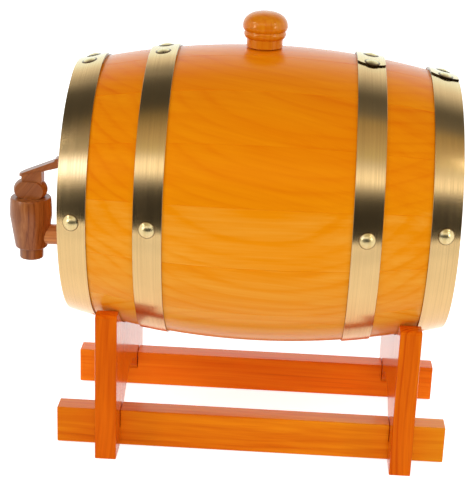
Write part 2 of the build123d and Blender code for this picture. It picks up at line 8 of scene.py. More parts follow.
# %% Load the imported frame
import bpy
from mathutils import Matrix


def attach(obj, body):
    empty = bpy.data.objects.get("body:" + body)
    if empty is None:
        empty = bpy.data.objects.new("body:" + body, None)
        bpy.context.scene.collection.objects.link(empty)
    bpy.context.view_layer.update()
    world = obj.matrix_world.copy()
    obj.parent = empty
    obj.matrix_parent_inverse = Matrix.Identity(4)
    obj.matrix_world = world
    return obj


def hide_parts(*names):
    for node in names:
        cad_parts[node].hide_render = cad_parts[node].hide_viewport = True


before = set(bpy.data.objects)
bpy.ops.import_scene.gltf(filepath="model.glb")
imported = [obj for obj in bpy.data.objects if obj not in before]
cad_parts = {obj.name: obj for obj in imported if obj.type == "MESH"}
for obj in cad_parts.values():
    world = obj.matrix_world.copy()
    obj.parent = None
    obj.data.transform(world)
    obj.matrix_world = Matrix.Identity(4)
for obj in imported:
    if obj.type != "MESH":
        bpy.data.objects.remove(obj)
print(len(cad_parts), "nodes in the frame")

# %% Imports for the cells below
import math
import bpy
from mathutils import Matrix, Vector

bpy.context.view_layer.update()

# %% [markdown]
# ## Camera
# A long lens a little above the cask looks across it from the side, and leans by
# two degrees.  Such a camera keeps the hoops nearly straight.  The camera could be
# given three turns, but its matrix is built from three directions here, because the
# lean and the small shifts to the side are then plain sums.  Angles are in degrees,
# shifts and the distance are in metres, and the lens is in millimetres.

# %% Place the camera
AXIS_POINT = Vector((0, 0.01735, 0.1415))      # middle of the cask's axis


def place_camera(azimuth, elevation, roll, across, above, away, lens):
    """Camera that looks at the cask from a direction, shifted across and above it."""
    turn, lift, lean = map(math.radians, (azimuth, elevation, roll))
    back = Vector((math.cos(lift) * math.cos(turn), math.cos(lift) * math.sin(turn), math.sin(lift)))
    level = Vector((-math.sin(turn), math.cos(turn), 0))
    upright = back.cross(level)
    right = math.cos(lean) * level + math.sin(lean) * upright
    up = math.cos(lean) * upright - math.sin(lean) * level
    camera = bpy.data.objects.new("camera", bpy.data.cameras.new("camera"))
    bpy.context.scene.collection.objects.link(camera)
    matrix = Matrix((right, up, back)).transposed().to_4x4()
    matrix.translation = AXIS_POINT + away * back - across * right - above * up
    camera.matrix_world = matrix
    camera.data.sensor_width = 36
    camera.data.lens = lens
    camera.data.clip_start = 0.01
    bpy.context.scene.camera = camera
    return camera


camera = place_camera(azimuth=2.2798, elevation=19.2586, roll=2.1498,
                      across=0.01469, above=0.02733, away=0.75202, lens=98.55)
print("camera at", [round(v, 3) for v in camera.location])

# %% [markdown]
# ## Measures of the cask
# The outside of the staves is an arc turned about the cask's axis.  Hoops, nails and
# the saddle of the stand all follow that arc, so one small function gives its radius
# at any place.  Sizes are in millimetres about the middle of the cask, and `spot`
# turns them into metres in the frame.

# %% The arc of the staves
HALF = 104.7            # from the middle to the stave ends
BELLY = 83.7            # outside radius at the middle
END = 70.2              # outside radius at the ends
WALL = 9.0              # stave thickness
BOW = (HALF**2 + (BELLY - END) ** 2) / (2 * (BELLY - END))      # radius of the lengthwise arc
BELLY_HOOP, END_HOOP = 56.5, 97.15                              # middles of the hoops along Y


def skin(y, lift=0.0):
    """Radius of the staves' outside at y, or of the arc lifted off it."""
    return BELLY - BOW + math.sqrt((BOW + lift) ** 2 - y * y)


def spot(x, y, z):
    """A place in millimetres from the cask's middle as a point of the frame."""
    return AXIS_POINT + Vector((x, y, z)) / 1000


def around(radius, y, degrees):
    """A point about the cask's axis; degrees go from +X up to +Z."""
    turn = math.radians(degrees)
    return spot(radius * math.cos(turn), y, radius * math.sin(turn))


def seat_on_skin(y, degrees, lift):
    """Matrix of a place on the cask whose Z looks outwards."""
    turn, tilt = math.radians(degrees), math.asin(y / BOW)
    normal = Vector((math.cos(tilt) * math.cos(turn), math.sin(tilt), math.cos(tilt) * math.sin(turn)))
    side = Vector((-math.sin(turn), 0, math.cos(turn)))
    matrix = Matrix((side, normal.cross(side), normal)).transposed().to_4x4()
    matrix.translation = around(skin(y), y, degrees) + normal * lift / 1000
    return matrix


print("outside radius at the belly hoops", round(skin(BELLY_HOOP), 2), "mm")

# %% [markdown]
# ## Turning on the lathe
# Many pieces are turned: staves, heads, hoops, bung, tap.  A turned piece starts as
# one point that is extruded along its outline and then spun about an axis.  The
# point itself is a small plane merged to its middle, since there is no operator that
# adds a single point.  A screw modifier would turn the outline too, but the spin
# operator also makes part of a turn with its two end faces, as a stave needs.

# %% Draw an outline and spin it
def draw(name, points, close=False):
    """New piece in edit mode whose mesh is a line through the points."""
    bpy.ops.object.select_all(action="DESELECT")
    bpy.ops.mesh.primitive_plane_add(size=0.001, location=(0, 0, 0))
    piece = bpy.context.object
    piece.name = piece.data.name = name
    bpy.ops.object.mode_set(mode="EDIT")
    bpy.ops.mesh.select_mode(type="VERT")
    bpy.ops.mesh.merge(type="CENTER")
    here = Vector(points[0])
    bpy.ops.transform.translate(value=here)
    for point in points[1:]:
        step = Vector(point) - here
        bpy.ops.mesh.extrude_region_move(TRANSFORM_OT_translate={"value": step})
        here = Vector(point)
    bpy.ops.mesh.select_all(action="SELECT")
    if close:
        bpy.ops.mesh.edge_face_add()
    return piece


def tidy_mesh():
    """Weld what lies on itself and turn every face outwards; leaves edit mode."""
    bpy.ops.mesh.select_all(action="SELECT")
    bpy.ops.mesh.remove_doubles(threshold=0.00001)
    bpy.ops.mesh.normals_make_consistent(inside=False)
    bpy.ops.object.mode_set(mode="OBJECT")


def beside(centre, outline):
    """Points of the frame for an outline of (radius, height) about an upright axis."""
    return [Vector(centre) + Vector((radius, 0, height)) / 1000 for radius, height in outline]


def distance_to_axis(point, centre, axis):
    """How far a point is from the line through the centre along the axis."""
    out = Vector(point) - Vector(centre)
    return (out - out.dot(Vector(axis)) * Vector(axis)).length


def lathe(name, points, centre, axis, steps, degrees=360.0, close=True):
    """Turned piece; part of a turn keeps its two end faces."""
    whole = degrees >= 360
    piece = draw(name, points, close=close and not whole)
    if close and whole and distance_to_axis(points[0], centre, axis) > 1e-6:
        bpy.ops.mesh.edge_face_add()            # joins the outline's ends, for a piece with a bore
        bpy.ops.mesh.delete(type="ONLY_FACE")
        bpy.ops.mesh.select_all(action="SELECT")
    bpy.ops.mesh.spin(steps=steps, angle=math.radians(degrees), center=centre, axis=axis)
    tidy_mesh()
    return piece


def choose(piece):
    """Only this piece is selected, and the next operator works on it."""
    bpy.ops.object.select_all(action="DESELECT")
    piece.select_set(True)
    bpy.context.view_layer.objects.active = piece


def smooth(piece):
    """Smooth shading that stops at edges sharper than thirty degrees."""
    choose(piece)
    bpy.ops.object.shade_smooth_by_angle(angle=math.radians(30))


def round_edges(piece, width, segments=2, degrees=35):
    """Small rounding on every edge sharper than the angle; width in millimetres."""
    bevel = piece.modifiers.new("rounding", "BEVEL")
    bevel.width, bevel.segments = width / 1000, segments
    bevel.limit_method, bevel.angle_limit = "ANGLE", math.radians(degrees)
    bpy.context.view_layer.objects.active = piece
    bpy.ops.object.modifier_apply(modifier=bevel.name)
    return piece


def carve(piece, tools, how="DIFFERENCE"):
    """Cut tools out of a piece, or weld them to it, and throw the tools away."""
    for tool in tools:
        cut = piece.modifiers.new("cut", "BOOLEAN")
        cut.operation, cut.solver, cut.object = how, "EXACT", tool
        bpy.context.view_layer.objects.active = piece
        bpy.ops.object.modifier_apply(modifier=cut.name)
        bpy.data.objects.remove(tool)
    return piece


def copy_to(piece, name, matrix):
    """A copy with its own mesh, moved by the matrix and settled at the origin."""
    choose(piece)
    bpy.ops.object.duplicate(linked=False)
    twin = bpy.context.object
    twin.name = twin.data.name = name
    twin.matrix_world = matrix
    bpy.ops.object.transform_apply(location=True, rotation=True, scale=True)
    return twin


def open_edges(piece):
    """Edges that don't have two faces: none on a closed piece."""
    count = {}
    for face in piece.data.polygons:
        for key in face.edge_keys:
            count[key] = count.get(key, 0) + 1
    return sum(1 for n in count.values() if n != 2)


def report(*pieces):
    """Print the number of faces and of open edges of each piece."""
    for piece in pieces:
        print(piece.name, len(piece.data.polygons), "faces,", open_edges(piece), "open edges")


print("helpers ready")

# %% [markdown]
# ## Staves
# A stave is a bent board, thick enough for a groove near each end that holds the
# head.  Its cross-section along the cask is the same all over, so it is drawn once
# and spun by a sixteenth of a turn; the drawn face and the last one stay as the two
# sides that meet the neighbours.  The long edges are broken a little, so that a hair
# line shows between staves under the lacquer.  One stave is made and sixteen copies
# of it are turned round the axis.

# %% Outline of one stave
STAVES = 16
STEP = 360 / STAVES
GROOVE_AT, GROOVE_WIDTH, GROOVE_DEPTH = 90.7, 4.1, 3.0      # holds the rim of a head
CHIME = 2.5                                                 # bevel inside the stave ends


def inner(y):
    """Radius of the staves' inside at y."""
    return skin(y, -WALL)


def stave_outline():
    """(radius, y) once round a stave: outside, rear end, inside, front end."""
    line = [(skin(y), y) for y in (HALF * i / 24 for i in range(-24, 25))]
    bevel_from = HALF - 1.98
    outside, inside = GROOVE_AT + GROOVE_WIDTH / 2, GROOVE_AT - GROOVE_WIDTH / 2
    floor = inner(GROOVE_AT) + GROOVE_DEPTH
    end = [(inner(HALF) + CHIME, HALF), (inner(bevel_from), bevel_from), (inner(outside), outside)]
    end += [(floor, outside), (floor, inside)]
    back = [(inner(y), y) for y in (inside * i / 10 for i in range(10, -11, -1))]
    return line + end + back + [(r, -y) for r, y in reversed(end)]


def make_stave():
    points = [around(r, y, -STEP / 2) for r, y in stave_outline()]
    return lathe("stave", points, AXIS_POINT, (0, 1, 0), 16, STEP)


stave = round_edges(make_stave(), 0.14, 1, 50)
report(stave)

# %% Sixteen staves, with the bung's hole in the top one
BUNG_AT = spot(0, -2.0, 0)              # the bung stands a little in front of the middle


def turn_about_axis(degrees):
    """Matrix of a turn about the cask's axis, from +X up to +Z."""
    to_axis = Matrix.Translation(AXIS_POINT)
    return to_axis @ Matrix.Rotation(-math.radians(degrees), 4, "Y") @ to_axis.inverted()


staves = []
for number in range(STAVES):
    angle = 90 - number * STEP
    staves.append(copy_to(stave, f"oak_stave_{number:02d}", turn_about_axis(angle)))
bpy.data.objects.remove(stave)
taper = [(0, 64), (6.59, 64), (7.78, 86), (0, 86)]
carve(staves[0], [lathe("bung_hole", beside(BUNG_AT, taper), BUNG_AT, (0, 0, 1), 64)])
report(*staves[:2])

# %% [markdown]
# ## Heads
# Each head is a disc of three boards, bevelled at its rim on both faces so that it
# slides into the groove.  The disc is turned, then sawn into boards by bisecting it
# twice, and the sawn edges are broken a little, which leaves the fine lines between
# boards that glued heads show.

# %% Turn a head and saw it into three boards
HEAD_FACE, HEAD_BACK = 94.7, 86.7       # outer and inner face, from the middle of the cask
BEVEL_DEEP, BEVEL_WIDE = 2.0, 3.0       # bevel round both faces, along the axis and across it
SAWN = 23.0                             # the middle board reaches this far to both sides


def saw(piece, x, keep):
    """Cut at x, keeping the side that keep (+1 or -1) points to, and close the cut."""
    choose(piece)
    bpy.ops.object.mode_set(mode="EDIT")
    bpy.ops.mesh.select_all(action="SELECT")
    bpy.ops.mesh.bisect(plane_co=(x / 1000, 0, 0), plane_no=(keep, 0, 0), use_fill=True, clear_inner=True)
    tidy_mesh()


def make_head(side, name):
    """The three boards of the head at -Y or +Y."""
    fit = 0.05                          # the rim in its groove
    lip, rim = inner(HEAD_FACE) - fit, inner(GROOVE_AT) + GROOVE_DEPTH - fit
    back, face = HEAD_BACK + BEVEL_DEEP, HEAD_FACE - BEVEL_DEEP
    outline = [(0, HEAD_BACK), (lip - BEVEL_WIDE, HEAD_BACK), (lip, back), (rim, back),
               (rim, face), (lip, face), (lip - BEVEL_WIDE, HEAD_FACE), (0, HEAD_FACE)]
    points = [around(r, side * y, 0) for r, y in outline]
    disc = lathe("disc", points, AXIS_POINT, (0, 1, 0), 96, close=False)
    boards = {}
    sawing = {"left": [(-SAWN, -1)], "middle": [(-SAWN, 1), (SAWN, -1)], "right": [(SAWN, 1)]}
    for which, cuts in sawing.items():
        board = copy_to(disc, f"{name}_head_board_{which}", Matrix())
        for x, keep in cuts:
            saw(board, x, keep)
        boards[which] = round_edges(board, 0.25, 1)
    bpy.data.objects.remove(disc)
    return boards


heads = {"front": make_head(-1, "front"), "rear": make_head(1, "rear")}
head_boards = [*heads["front"].values(), *heads["rear"].values()]
report(*head_boards)

# %% [markdown]
# ## Hoops
# A hoop is one brass strip bent to a ring whose ends overlap at the top of the cask,
# where two rivets hold them.  The strip's cross-section is drawn at its hidden end,
# spun nearly all the way round, then lifted by a little more than its own thickness
# in twelve short steps so that it runs over its own end, and spun a little further to
# the free end.  The free end is rounded by turning each column of points by its own
# small angle.  A ring with a second strip on top would be quicker, but the lap's
# ramp and the open end below it are what shows that this is a bent strip.

# %% Cross-section of a strip and its way round the cask
THICK, GAP = 0.8, 0.05                  # thickness of a strip, and the air under it
HOOPS = {       # middle along Y, width, lap's middle in degrees towards +X, free end, nail's angle
    "front_end_hoop": (-END_HOOP, 15.7, -0.9, -1, 0.9),
    "front_belly_hoop": (-BELLY_HOOP, 15.4, 1.0, -1, 1.3),
    "rear_belly_hoop": (BELLY_HOOP, 15.4, 3.2, 1, 1.4),
    "rear_end_hoop": (END_HOOP, 15.7, -2.6, 1, 3.0),
}
LAP_FREE, LAP_HIDDEN = 11.3, 13.0       # from the lap's middle to its two ends
LAP_RAMP, LAP_RISE = 22.0, THICK + 0.1  # length and height of the ramp before the lap
END_STEP, END_RADIUS = 3.6, 11.5        # the rounded part of the free end
RAMP_STEPS = 12


def strip_section(y, width, degrees, lift):
    """Closed cross-section whose long edges are slightly rounded."""
    low, high, soft = y - width / 2, y + width / 2, 0.12
    columns = [low + soft + (width - 2 * soft) * i / 8 for i in range(9)]
    over = [(c, lift + THICK) for c in columns] + [(high, lift + THICK - soft), (high, lift + soft)]
    under = [(c, lift) for c in reversed(columns)] + [(low, lift + soft), (low, lift + THICK - soft)]
    return [around(skin(c, up), c, degrees) for c, up in over + under]


def turn_along(y, length):
    """Degrees about the axis for a length along the hoop at y."""
    return math.degrees(length / skin(y, THICK))


def spin_on(degrees, steps):
    """Carry on spinning the face that the last spin left selected."""
    bpy.ops.mesh.spin(steps=steps, angle=math.radians(degrees), center=AXIS_POINT, axis=(0, 1, 0))


def bend_strip(name, y, width, lap, free):
    """Strip from its hidden end round the cask to its free end, still in edit mode."""
    start = 90 - lap + free * turn_along(y, LAP_HIDDEN)
    piece = draw(name, strip_section(y, width, start, GAP), close=True)
    way = -free                                        # towards the free end
    spin_on(way * (360 - turn_along(y, LAP_RAMP)), 120)
    radius = skin(y, THICK)
    lifts = [LAP_RISE * (1 - math.cos(math.pi * i / RAMP_STEPS)) / 2 for i in range(RAMP_STEPS + 1)]
    for low, high in zip(lifts, lifts[1:]):
        spin_on(way * turn_along(y, LAP_RAMP) / RAMP_STEPS, 1)
        grow = (radius + high) / (radius + low)
        bpy.ops.transform.resize(value=(grow, 1, grow), center_override=AXIS_POINT)
    spin_on(way * turn_along(y, LAP_HIDDEN + LAP_FREE - END_STEP), 12)
    spin_on(way * turn_along(y, END_STEP), 1)
    return piece


def round_free_end(piece, y, free):
    """Turn each column of the last section back, so that the end becomes an arc."""
    mesh = piece.data
    bpy.ops.object.mode_set(mode="OBJECT")
    last = [v.index for v in mesh.vertices if v.select]
    for place in sorted({round(mesh.vertices[i].co.y, 7) for i in last}):
        off = abs(place * 1000 - AXIS_POINT.y * 1000 - y)
        back = END_RADIUS - math.sqrt(END_RADIUS**2 - off**2)
        bpy.ops.object.mode_set(mode="EDIT")
        bpy.ops.mesh.select_all(action="DESELECT")
        bpy.ops.object.mode_set(mode="OBJECT")
        for i in last:
            mesh.vertices[i].select = abs(mesh.vertices[i].co.y - place) < 1e-7
        bpy.ops.object.mode_set(mode="EDIT")
        bpy.ops.transform.rotate(value=math.radians(free * turn_along(y, back)), orient_axis="Y",
                                 center_override=AXIS_POINT)
        bpy.ops.object.mode_set(mode="OBJECT")
    bpy.ops.object.mode_set(mode="EDIT")


def mark_edges(piece, where):
    """Points on which the brass is painted dark, partly as a dull cut edge and partly as painted shade, kept
    on the mesh.
    """
    layer = piece.data.attributes.new("dull_edge_and_painted_shade", "FLOAT", "POINT")
    layer.data.foreach_set("value", [float(where(v.co)) for v in piece.data.vertices])


hoops = {}
for name, (y, width, lap, free, nail) in HOOPS.items():
    hoop = bend_strip("brass_" + name, y, width, lap, free)
    round_free_end(hoop, y, free)
    tidy_mesh()
    hoops[name] = hoop
    # painted shade: the strip's cut sides and a hair of its face are painted dark, for the shade in the gap
    # beside it
    limit = (width / 2 - 0.06) / 1000                  # the cut sides and a hair of the face
    mark_edges(hoop, lambda place: abs(place.y - AXIS_POINT.y - y / 1000) > limit)
report(*hoops.values())

# %% [markdown]
# ## Rivets and nails
# The laps are held by domed rivets, and one domed nail on each flank keeps a hoop
# from sliding.  Each is turned once about the Z axis, with a narrow flat rim round
# its dome on which a ring of shade is painted dark, then copied to its places.  A
# ready-made ball could stand in for the dome, but its cut edge would be too sharp for the rim.

# %% Turn one rivet and one nail, and set them on the hoops
def dome(radius, height, rings=8):
    """Points of a dome from its rim to its top."""
    ball = (radius**2 + height**2) / (2 * height)
    rim = math.asin(radius / ball)
    turns = [rim * (1 - i / rings) for i in range(rings + 1)]
    return [(ball * math.sin(t), height - ball + ball * math.cos(t)) for t in turns]


def turn_up(name, outline, shaded_rim_from):
    """Turned about Z at the origin, with its rim marked from a radius on, where a ring of shade is painted
    dark.
    """
    piece = lathe(name, beside((0, 0, 0), outline), (0, 0, 0), (0, 0, 1), 40, close=False)
    mark_edges(piece, lambda place: math.hypot(place.x, place.y) > shaded_rim_from / 1000)
    return piece


RIVET_OUT, NAIL_OUT = 2 * (THICK + GAP), THICK + 2 * GAP        # where the heads sit above the staves
RIVET_APART = 8.0                                               # from the lap's middle to a rivet
rivet_shank = [(0, -1.65), (1.5, -1.65), (1.5, 0), (4.3, 0), (4.35, 0.05), (4.28, 0.12)]
nail_shank = [(0, -6.5), (0.25, -6.5), (0.9, -4.5), (0.9, 0), (4.45, 0), (4.5, 0.06), (4.42, 0.14)]
# painted shade: past the given radius the rim of each head is painted dark as a ring of shade
rivet = turn_up("rivet", rivet_shank + dome(4.1, 1.1)[1:], 3.5)
nail = turn_up("nail", nail_shank + dome(4.2, 2.0)[1:], 4.1)
rivets, nails = [], []
for name, (y, width, lap, free, angle) in HOOPS.items():
    half = turn_along(y, RIVET_APART)
    for turn in (90 - lap - half, 90 - lap + half):
        rivets.append(copy_to(rivet, f"rivet_{len(rivets) + 1}", seat_on_skin(y, turn, RIVET_OUT)))
    for turn in (angle, 180 - angle):
        nails.append(copy_to(nail, f"hoop_nail_{len(nails) + 1}", seat_on_skin(y, turn, NAIL_OUT)))
for master in (rivet, nail):
    bpy.data.objects.remove(master)
report(rivets[0], nails[0])

# %% [markdown]
# ## Bung
# The bung is turned from one piece: a tapered plug, a straight foot that stands on
# the cask, a bead, and a mushroom knob to pull it by.  The bead is an arc and the
# knob is two smooth curves, so their points are worked out; the rest is written down.
# Rounding a coarse outline with a bevel would blur the groove between the two.

# %% Turn the bung
def sweep(start, leave, end, arrive, steps):
    """Smooth curve between two points; leave and arrive are its directions there."""
    out = []
    for i in range(steps + 1):
        t = i / steps
        a, b = 2 * t**3 - 3 * t**2 + 1, t**3 - 2 * t**2 + t
        c, d = 3 * t**2 - 2 * t**3, t**3 - t**2
        out.append(tuple(a * s + b * l + c * e + d * v for s, l, e, v in zip(start, leave, end, arrive)))
    return out


def arc3(start, middle, end, steps):
    """Arc through three (radius, height) points."""
    (ax, ay), (bx, by), (cx, cy) = start, middle, end
    d = 2 * (ax * (by - cy) + bx * (cy - ay) + cx * (ay - by))
    ux = ((ax**2 + ay**2) * (by - cy) + (bx**2 + by**2) * (cy - ay) + (cx**2 + cy**2) * (ay - by)) / d
    uy = ((ax**2 + ay**2) * (cx - bx) + (bx**2 + by**2) * (ax - cx) + (cx**2 + cy**2) * (bx - ax)) / d
    radius = math.hypot(ax - ux, ay - uy)
    first, last = math.atan2(ay - uy, ax - ux), math.atan2(cy - uy, cx - ux)
    return [(ux + radius * math.cos(first + (last - first) * i / steps),
             uy + radius * math.sin(first + (last - first) * i / steps)) for i in range(steps + 1)]


def bung_outline():
    """(radius, height) in millimetres, the height from the cask's axis."""
    plug = [(0, 66.0), (6.3, 66.0), (6.67, 66.4), (7.65, 84.0), (9.6, 84.0), (9.9, 84.3)]
    bead = arc3((9.9, 88.7), (11.5, 90.9), (11.0, 93.0), 10)
    knob = sweep((11.4, 93.05), (1.7, 1.9), (12.35, 95.5), (0, 2.7), 6)
    cap = sweep((12.35, 95.5), (0, 14.6), (0, 103.7), (-25.0, 0), 20)
    return plug + bead + knob + cap[1:]


bung = lathe("turned_bung", beside(BUNG_AT, bung_outline()), BUNG_AT, (0, 0, 1), 72, close=False)
report(bung)

# %% [markdown]
# ## Tap
# The tap has three turned pieces: an upright body with the spout below, a level
# shank driven into the head, and a key.  The body's outline is drawn with its bore,
# so that one spin gives the hollow piece.  The socket for the shank and the way for
# the liquor run across it, so they are cut with round bars afterwards, as drilling
# would, and so is the tapered hole in the head.

# %% Turn the tap body and its shank
TAP_Y, SHANK_Z = -132.8, -31.2          # the body's axis, and the height of the shank's
TAP_AT = spot(0, TAP_Y, 0)
SHANK_AT = spot(0, 0, SHANK_Z)
SOCKET_END, SOCKET = -125.99, 5.93      # bottom of the socket along Y, and its radius
WAY, CLEAR = 2.5, -110                  # radius of the liquor way; Y of the bars' ends outside the body


def level(outline):
    """Points of the frame for an outline of (y, radius) about the shank's axis."""
    return [SHANK_AT + Vector((0, y, r)) / 1000 for y, r in outline]


def drill(name, outline, steps=48):
    """Round bar along the shank's axis to cut with."""
    return lathe(name, level(outline), SHANK_AT, (0, 1, 0), steps, close=False)


body_outline = [
    (2.7, -45.7), (2.7, -36.4), (5.0, -36.4), (6.05, -8.8),                     # bore and the key's seat
    (10.6, -8.8), (11.2, -8.95), (11.6, -9.4), (11.75, -9.8),                   # rounded top edge
    (12.05, -15.0), (12.2, -19.7), (12.1, -20.1), (11.9, -21.4), (9.4, -37.9),  # barrel with its ridge
    (9.25, -38.4), (8.8, -38.8), (7.0, -38.8), (6.9, -38.9),                    # foot of the barrel
    (6.9, -44.9), (6.65, -45.45), (6.1, -45.7),                                 # spout
]
tap_body = lathe("turned_tap_body", beside(TAP_AT, body_outline), TAP_AT, (0, 0, 1), 80)
socket = drill("socket", [(SOCKET_END, 0), (SOCKET_END, SOCKET), (CLEAR, SOCKET), (CLEAR, 0)])
way = drill("way", [(TAP_Y, 0), (TAP_Y, WAY), (CLEAR, WAY), (CLEAR, 0)], 32)
carve(tap_body, [socket, way])
shank_outline = [(-125.96, WAY), (-125.96, 5.6), (-125.66, 5.9), (-HEAD_FACE, 5.9),
                 (-79.0, 5.2), (-78.7, 4.9), (-78.7, WAY)]
tap_shank = lathe("turned_tap_shank", level(shank_outline), SHANK_AT, (0, 1, 0), 48)
tap_hole = drill("tap_hole", [(-96, 0), (-96, 5.99), (-HEAD_FACE, 5.93), (-85, 5.5), (-85, 0)])
carve(heads["front"]["middle"], [tap_hole])
report(tap_body, tap_shank, heads["front"]["middle"])

# %% [markdown]
# ## Tap key
# The key closes the tap: a tapered plug below, a bead with two flats above it, a
# short neck, and a thin sloping lever that starts over the bead and ends in a small
# lip.  Bead and plug are turned, and the flats are sawn off.  Neck and lever are
# drawn from the side and extruded, and the lever is cut to a second outline, drawn
# from above, that rounds its front end.  Boolean unions weld all into one piece,
# whose edges are then rounded together, as a carved key's are by sanding.

# %% Make the key
KEY_FOOT, KEY_TOP = -8.5, 1.1           # bottom and top of the bead
LEVER_FROM, LEVER_TO = -6.3, 16.4       # the lever's ends along Y, from the plug's axis
LEVER_HALF, NECK_HALF = 3.8, 4.3        # half the width of the lever and of the neck
FLAT = 5.4                              # from the plug's axis to a flat of the bead
LEVER_RISE = math.tan(math.radians(22.5))


def arc(centre, radius, first, last, steps):
    """Arc about a centre between two angles in degrees."""
    turns = [math.radians(first + (last - first) * i / steps) for i in range(steps + 1)]
    return [(centre[0] + radius * math.cos(t), centre[1] + radius * math.sin(t)) for t in turns]


def slab(name, outline, width):
    """Flat piece drawn from the side in (y, z) and extruded across X."""
    points = [TAP_AT + Vector((-width / 2, y, z)) / 1000 for y, z in outline]
    piece = draw(name, points, close=True)
    bpy.ops.mesh.extrude_region_move(TRANSFORM_OT_translate={"value": (width / 1000, 0, 0)})
    tidy_mesh()
    return piece


def lever_top(y):
    """Height of the lever's top at y, both from the plug's axis at the cask's height."""
    return KEY_TOP + 4.0 + LEVER_RISE * (y - LEVER_FROM)


def lever_low(y):
    """The underside: the lever is 1.6 mm high in front and grows by 3 mm to its tip."""
    return lever_top(y) - 1.6 - 3.0 * (y - LEVER_FROM) / (LEVER_TO - LEVER_FROM)


bead_curve = arc3((7.9, KEY_FOOT), (9.7, KEY_FOOT + 4.8), (6.2, KEY_TOP), 16)
bead_outline = [(0, KEY_FOOT), *bead_curve, (0, KEY_TOP)]
key = lathe("turned_tap_key", beside(TAP_AT, bead_outline), TAP_AT, (0, 0, 1), 80, close=False)
for x, keep in ((FLAT, -1), (-FLAT, 1)):
    saw(key, x, keep)
plug_outline = [(0, -36), (4.6, -36), (4.91, -35.7), (6.0, -8.8), (6.0, -8.0), (0, -8.0)]
plug = lathe("plug", beside(TAP_AT, plug_outline), TAP_AT, (0, 0, 1), 48, close=False)
neck_outline = [(-4.4, -1.9), (7.2, -1.9), (7.2, lever_low(7.2) + 0.75), (-4.4, lever_low(-4.4) + 0.75)]
neck = slab("neck", neck_outline, 2 * NECK_HALF)
lever_outline = [
    (-6.4, lever_top(LEVER_FROM) - 1.9), (-4.4, lever_low(-4.4)),               # front end, below
    (LEVER_TO, lever_low(LEVER_TO)), (LEVER_TO, lever_top(LEVER_TO) + 1.0),     # tip
    (14.6, lever_top(14.6) + 1.0), (14.6, lever_top(14.6)),                     # lip
    (-6.1, lever_top(-6.1)), (-6.4, lever_top(LEVER_FROM) - 0.6),               # front end, above
]
lever = slab("lever", lever_outline, 2 * LEVER_HALF)
from_above = [(LEVER_HALF, 17.0), (-LEVER_HALF, 17.0)] + arc((0, -2.6), LEVER_HALF, 180, 360, 20)
nose = draw("nose", [TAP_AT + Vector((x, y, 0)) / 1000 for x, y in from_above], close=True)
bpy.ops.mesh.extrude_region_move(TRANSFORM_OT_translate={"value": (0, 0, 0.03)})
tidy_mesh()
carve(lever, [nose], "INTERSECT")
carve(key, [plug, neck, lever], "UNION")
round_edges(key, 0.35, 2, 40)
report(key)

# %% [markdown]
# ## Stand
# Two boards carry the cask in round saddles and two rails tie them; they cross in
# halving joints.  Each is flat stock with a sawn outline, so its outline is drawn
# point by point, filled, and extruded to its thickness.  The arcs are worked out,
# and the edges get the small rounding that sanding and lacquer leave.  Cutting the
# saddle out of a block with a boolean would do too, but leaves untidy faces.

# %% Draw the cradle boards
TABLE = -141.5                          # the ground, below the cask's axis
BOARD_AT = {"front_cradle_board": -80.1, "rear_cradle_board": 84.9}
BOARD, RAIL, FIT = 12.0, 12.0, 0.1      # thickness of boards and of rails, and air in the joints
RAIL_IN = 34.6                          # inner face of a rail, from the middle of the stand
NOTCH = TABLE + 12.0                    # top of the boards' notches
HALF_BOARD, CORNER = 63, 2              # half a board's width, and the rounding of its top corners


def board_outline(y):
    """(x, z) of a board: right foot, saddle, left foot, and the arch between the feet."""
    top, saddle = -54.5, skin(abs(y) - BOARD / 2) + 0.3
    tip = math.sqrt(saddle**2 - top**2)
    end = math.degrees(math.atan2(top, tip))
    crown, foot = TABLE + 29.5, TABLE + 14
    rise = crown - foot
    radius = (RAIL_IN**2 + rise**2) / (2 * rise)
    half = math.degrees(math.asin(RAIL_IN / radius))
    rail_out, flat, side = RAIL_IN + RAIL + FIT, HALF_BOARD - CORNER, top - CORNER
    line = [(rail_out, TABLE), (HALF_BOARD, TABLE), (HALF_BOARD, side)]
    line += [*arc((flat, side), CORNER, 18, 72, 3), (flat, top)]
    line += arc((0, 0), saddle, end, -180 - end, 64)
    line += [(-flat, top), *arc((-flat, side), CORNER, 108, 162, 3)]
    line += [(-HALF_BOARD, side), (-HALF_BOARD, TABLE), (-rail_out, TABLE)]
    line += [(-rail_out, NOTCH), (-RAIL_IN, NOTCH)]
    line += arc((0, crown - radius), radius, 90 + half, 90 - half, 24)
    return line + [(RAIL_IN, NOTCH), (rail_out, NOTCH)]


def flat_stock(name, points, thickness):
    """Piece of one thickness, with the rounded edges that sanding leaves."""
    piece = draw(name, points, close=True)
    bpy.ops.mesh.extrude_region_move(TRANSFORM_OT_translate={"value": Vector(thickness) / 1000})
    tidy_mesh()
    return round_edges(piece, 0.6)


boards = {}
for name, y in BOARD_AT.items():
    outline = [spot(x, y - BOARD / 2, z) for x, z in board_outline(y)]
    boards[name] = flat_stock("oak_" + name, outline, (0, BOARD, 0))
report(*boards.values())

# %% Draw the rails with their notches
def rail_outline():
    """(y, z) of a rail with a notch from above for each board."""
    top, bottom, end = TABLE + 22.7, TABLE + 1.0, 110.3
    cut, floor = BOARD / 2 + FIT, NOTCH - FIT
    line = [(-end, bottom), (end, bottom), (end, top)]
    for y in sorted(BOARD_AT.values(), reverse=True):
        line += [(y + cut, top), (y + cut, floor), (y - cut, floor), (y - cut, top)]
    return line + [(-end, top)]


rails = {}
for name, x in {"left_rail": -RAIL_IN - RAIL, "right_rail": RAIL_IN}.items():
    outline = [spot(x, y, z) for y, z in rail_outline()]
    rails[name] = flat_stock("oak_" + name, outline, (RAIL, 0, 0))
report(*rails.values())

# %% [markdown]
# ## Colours and nodes
# Colours are written as sRGB hex values and turned to linear light by one function.
# One small function adds a node, sets its values and makes its links, so that each
# material below reads as a list of what happens to the surface.  The nodes could be
# placed by hand in the editor, but a list is easier to follow and to change.

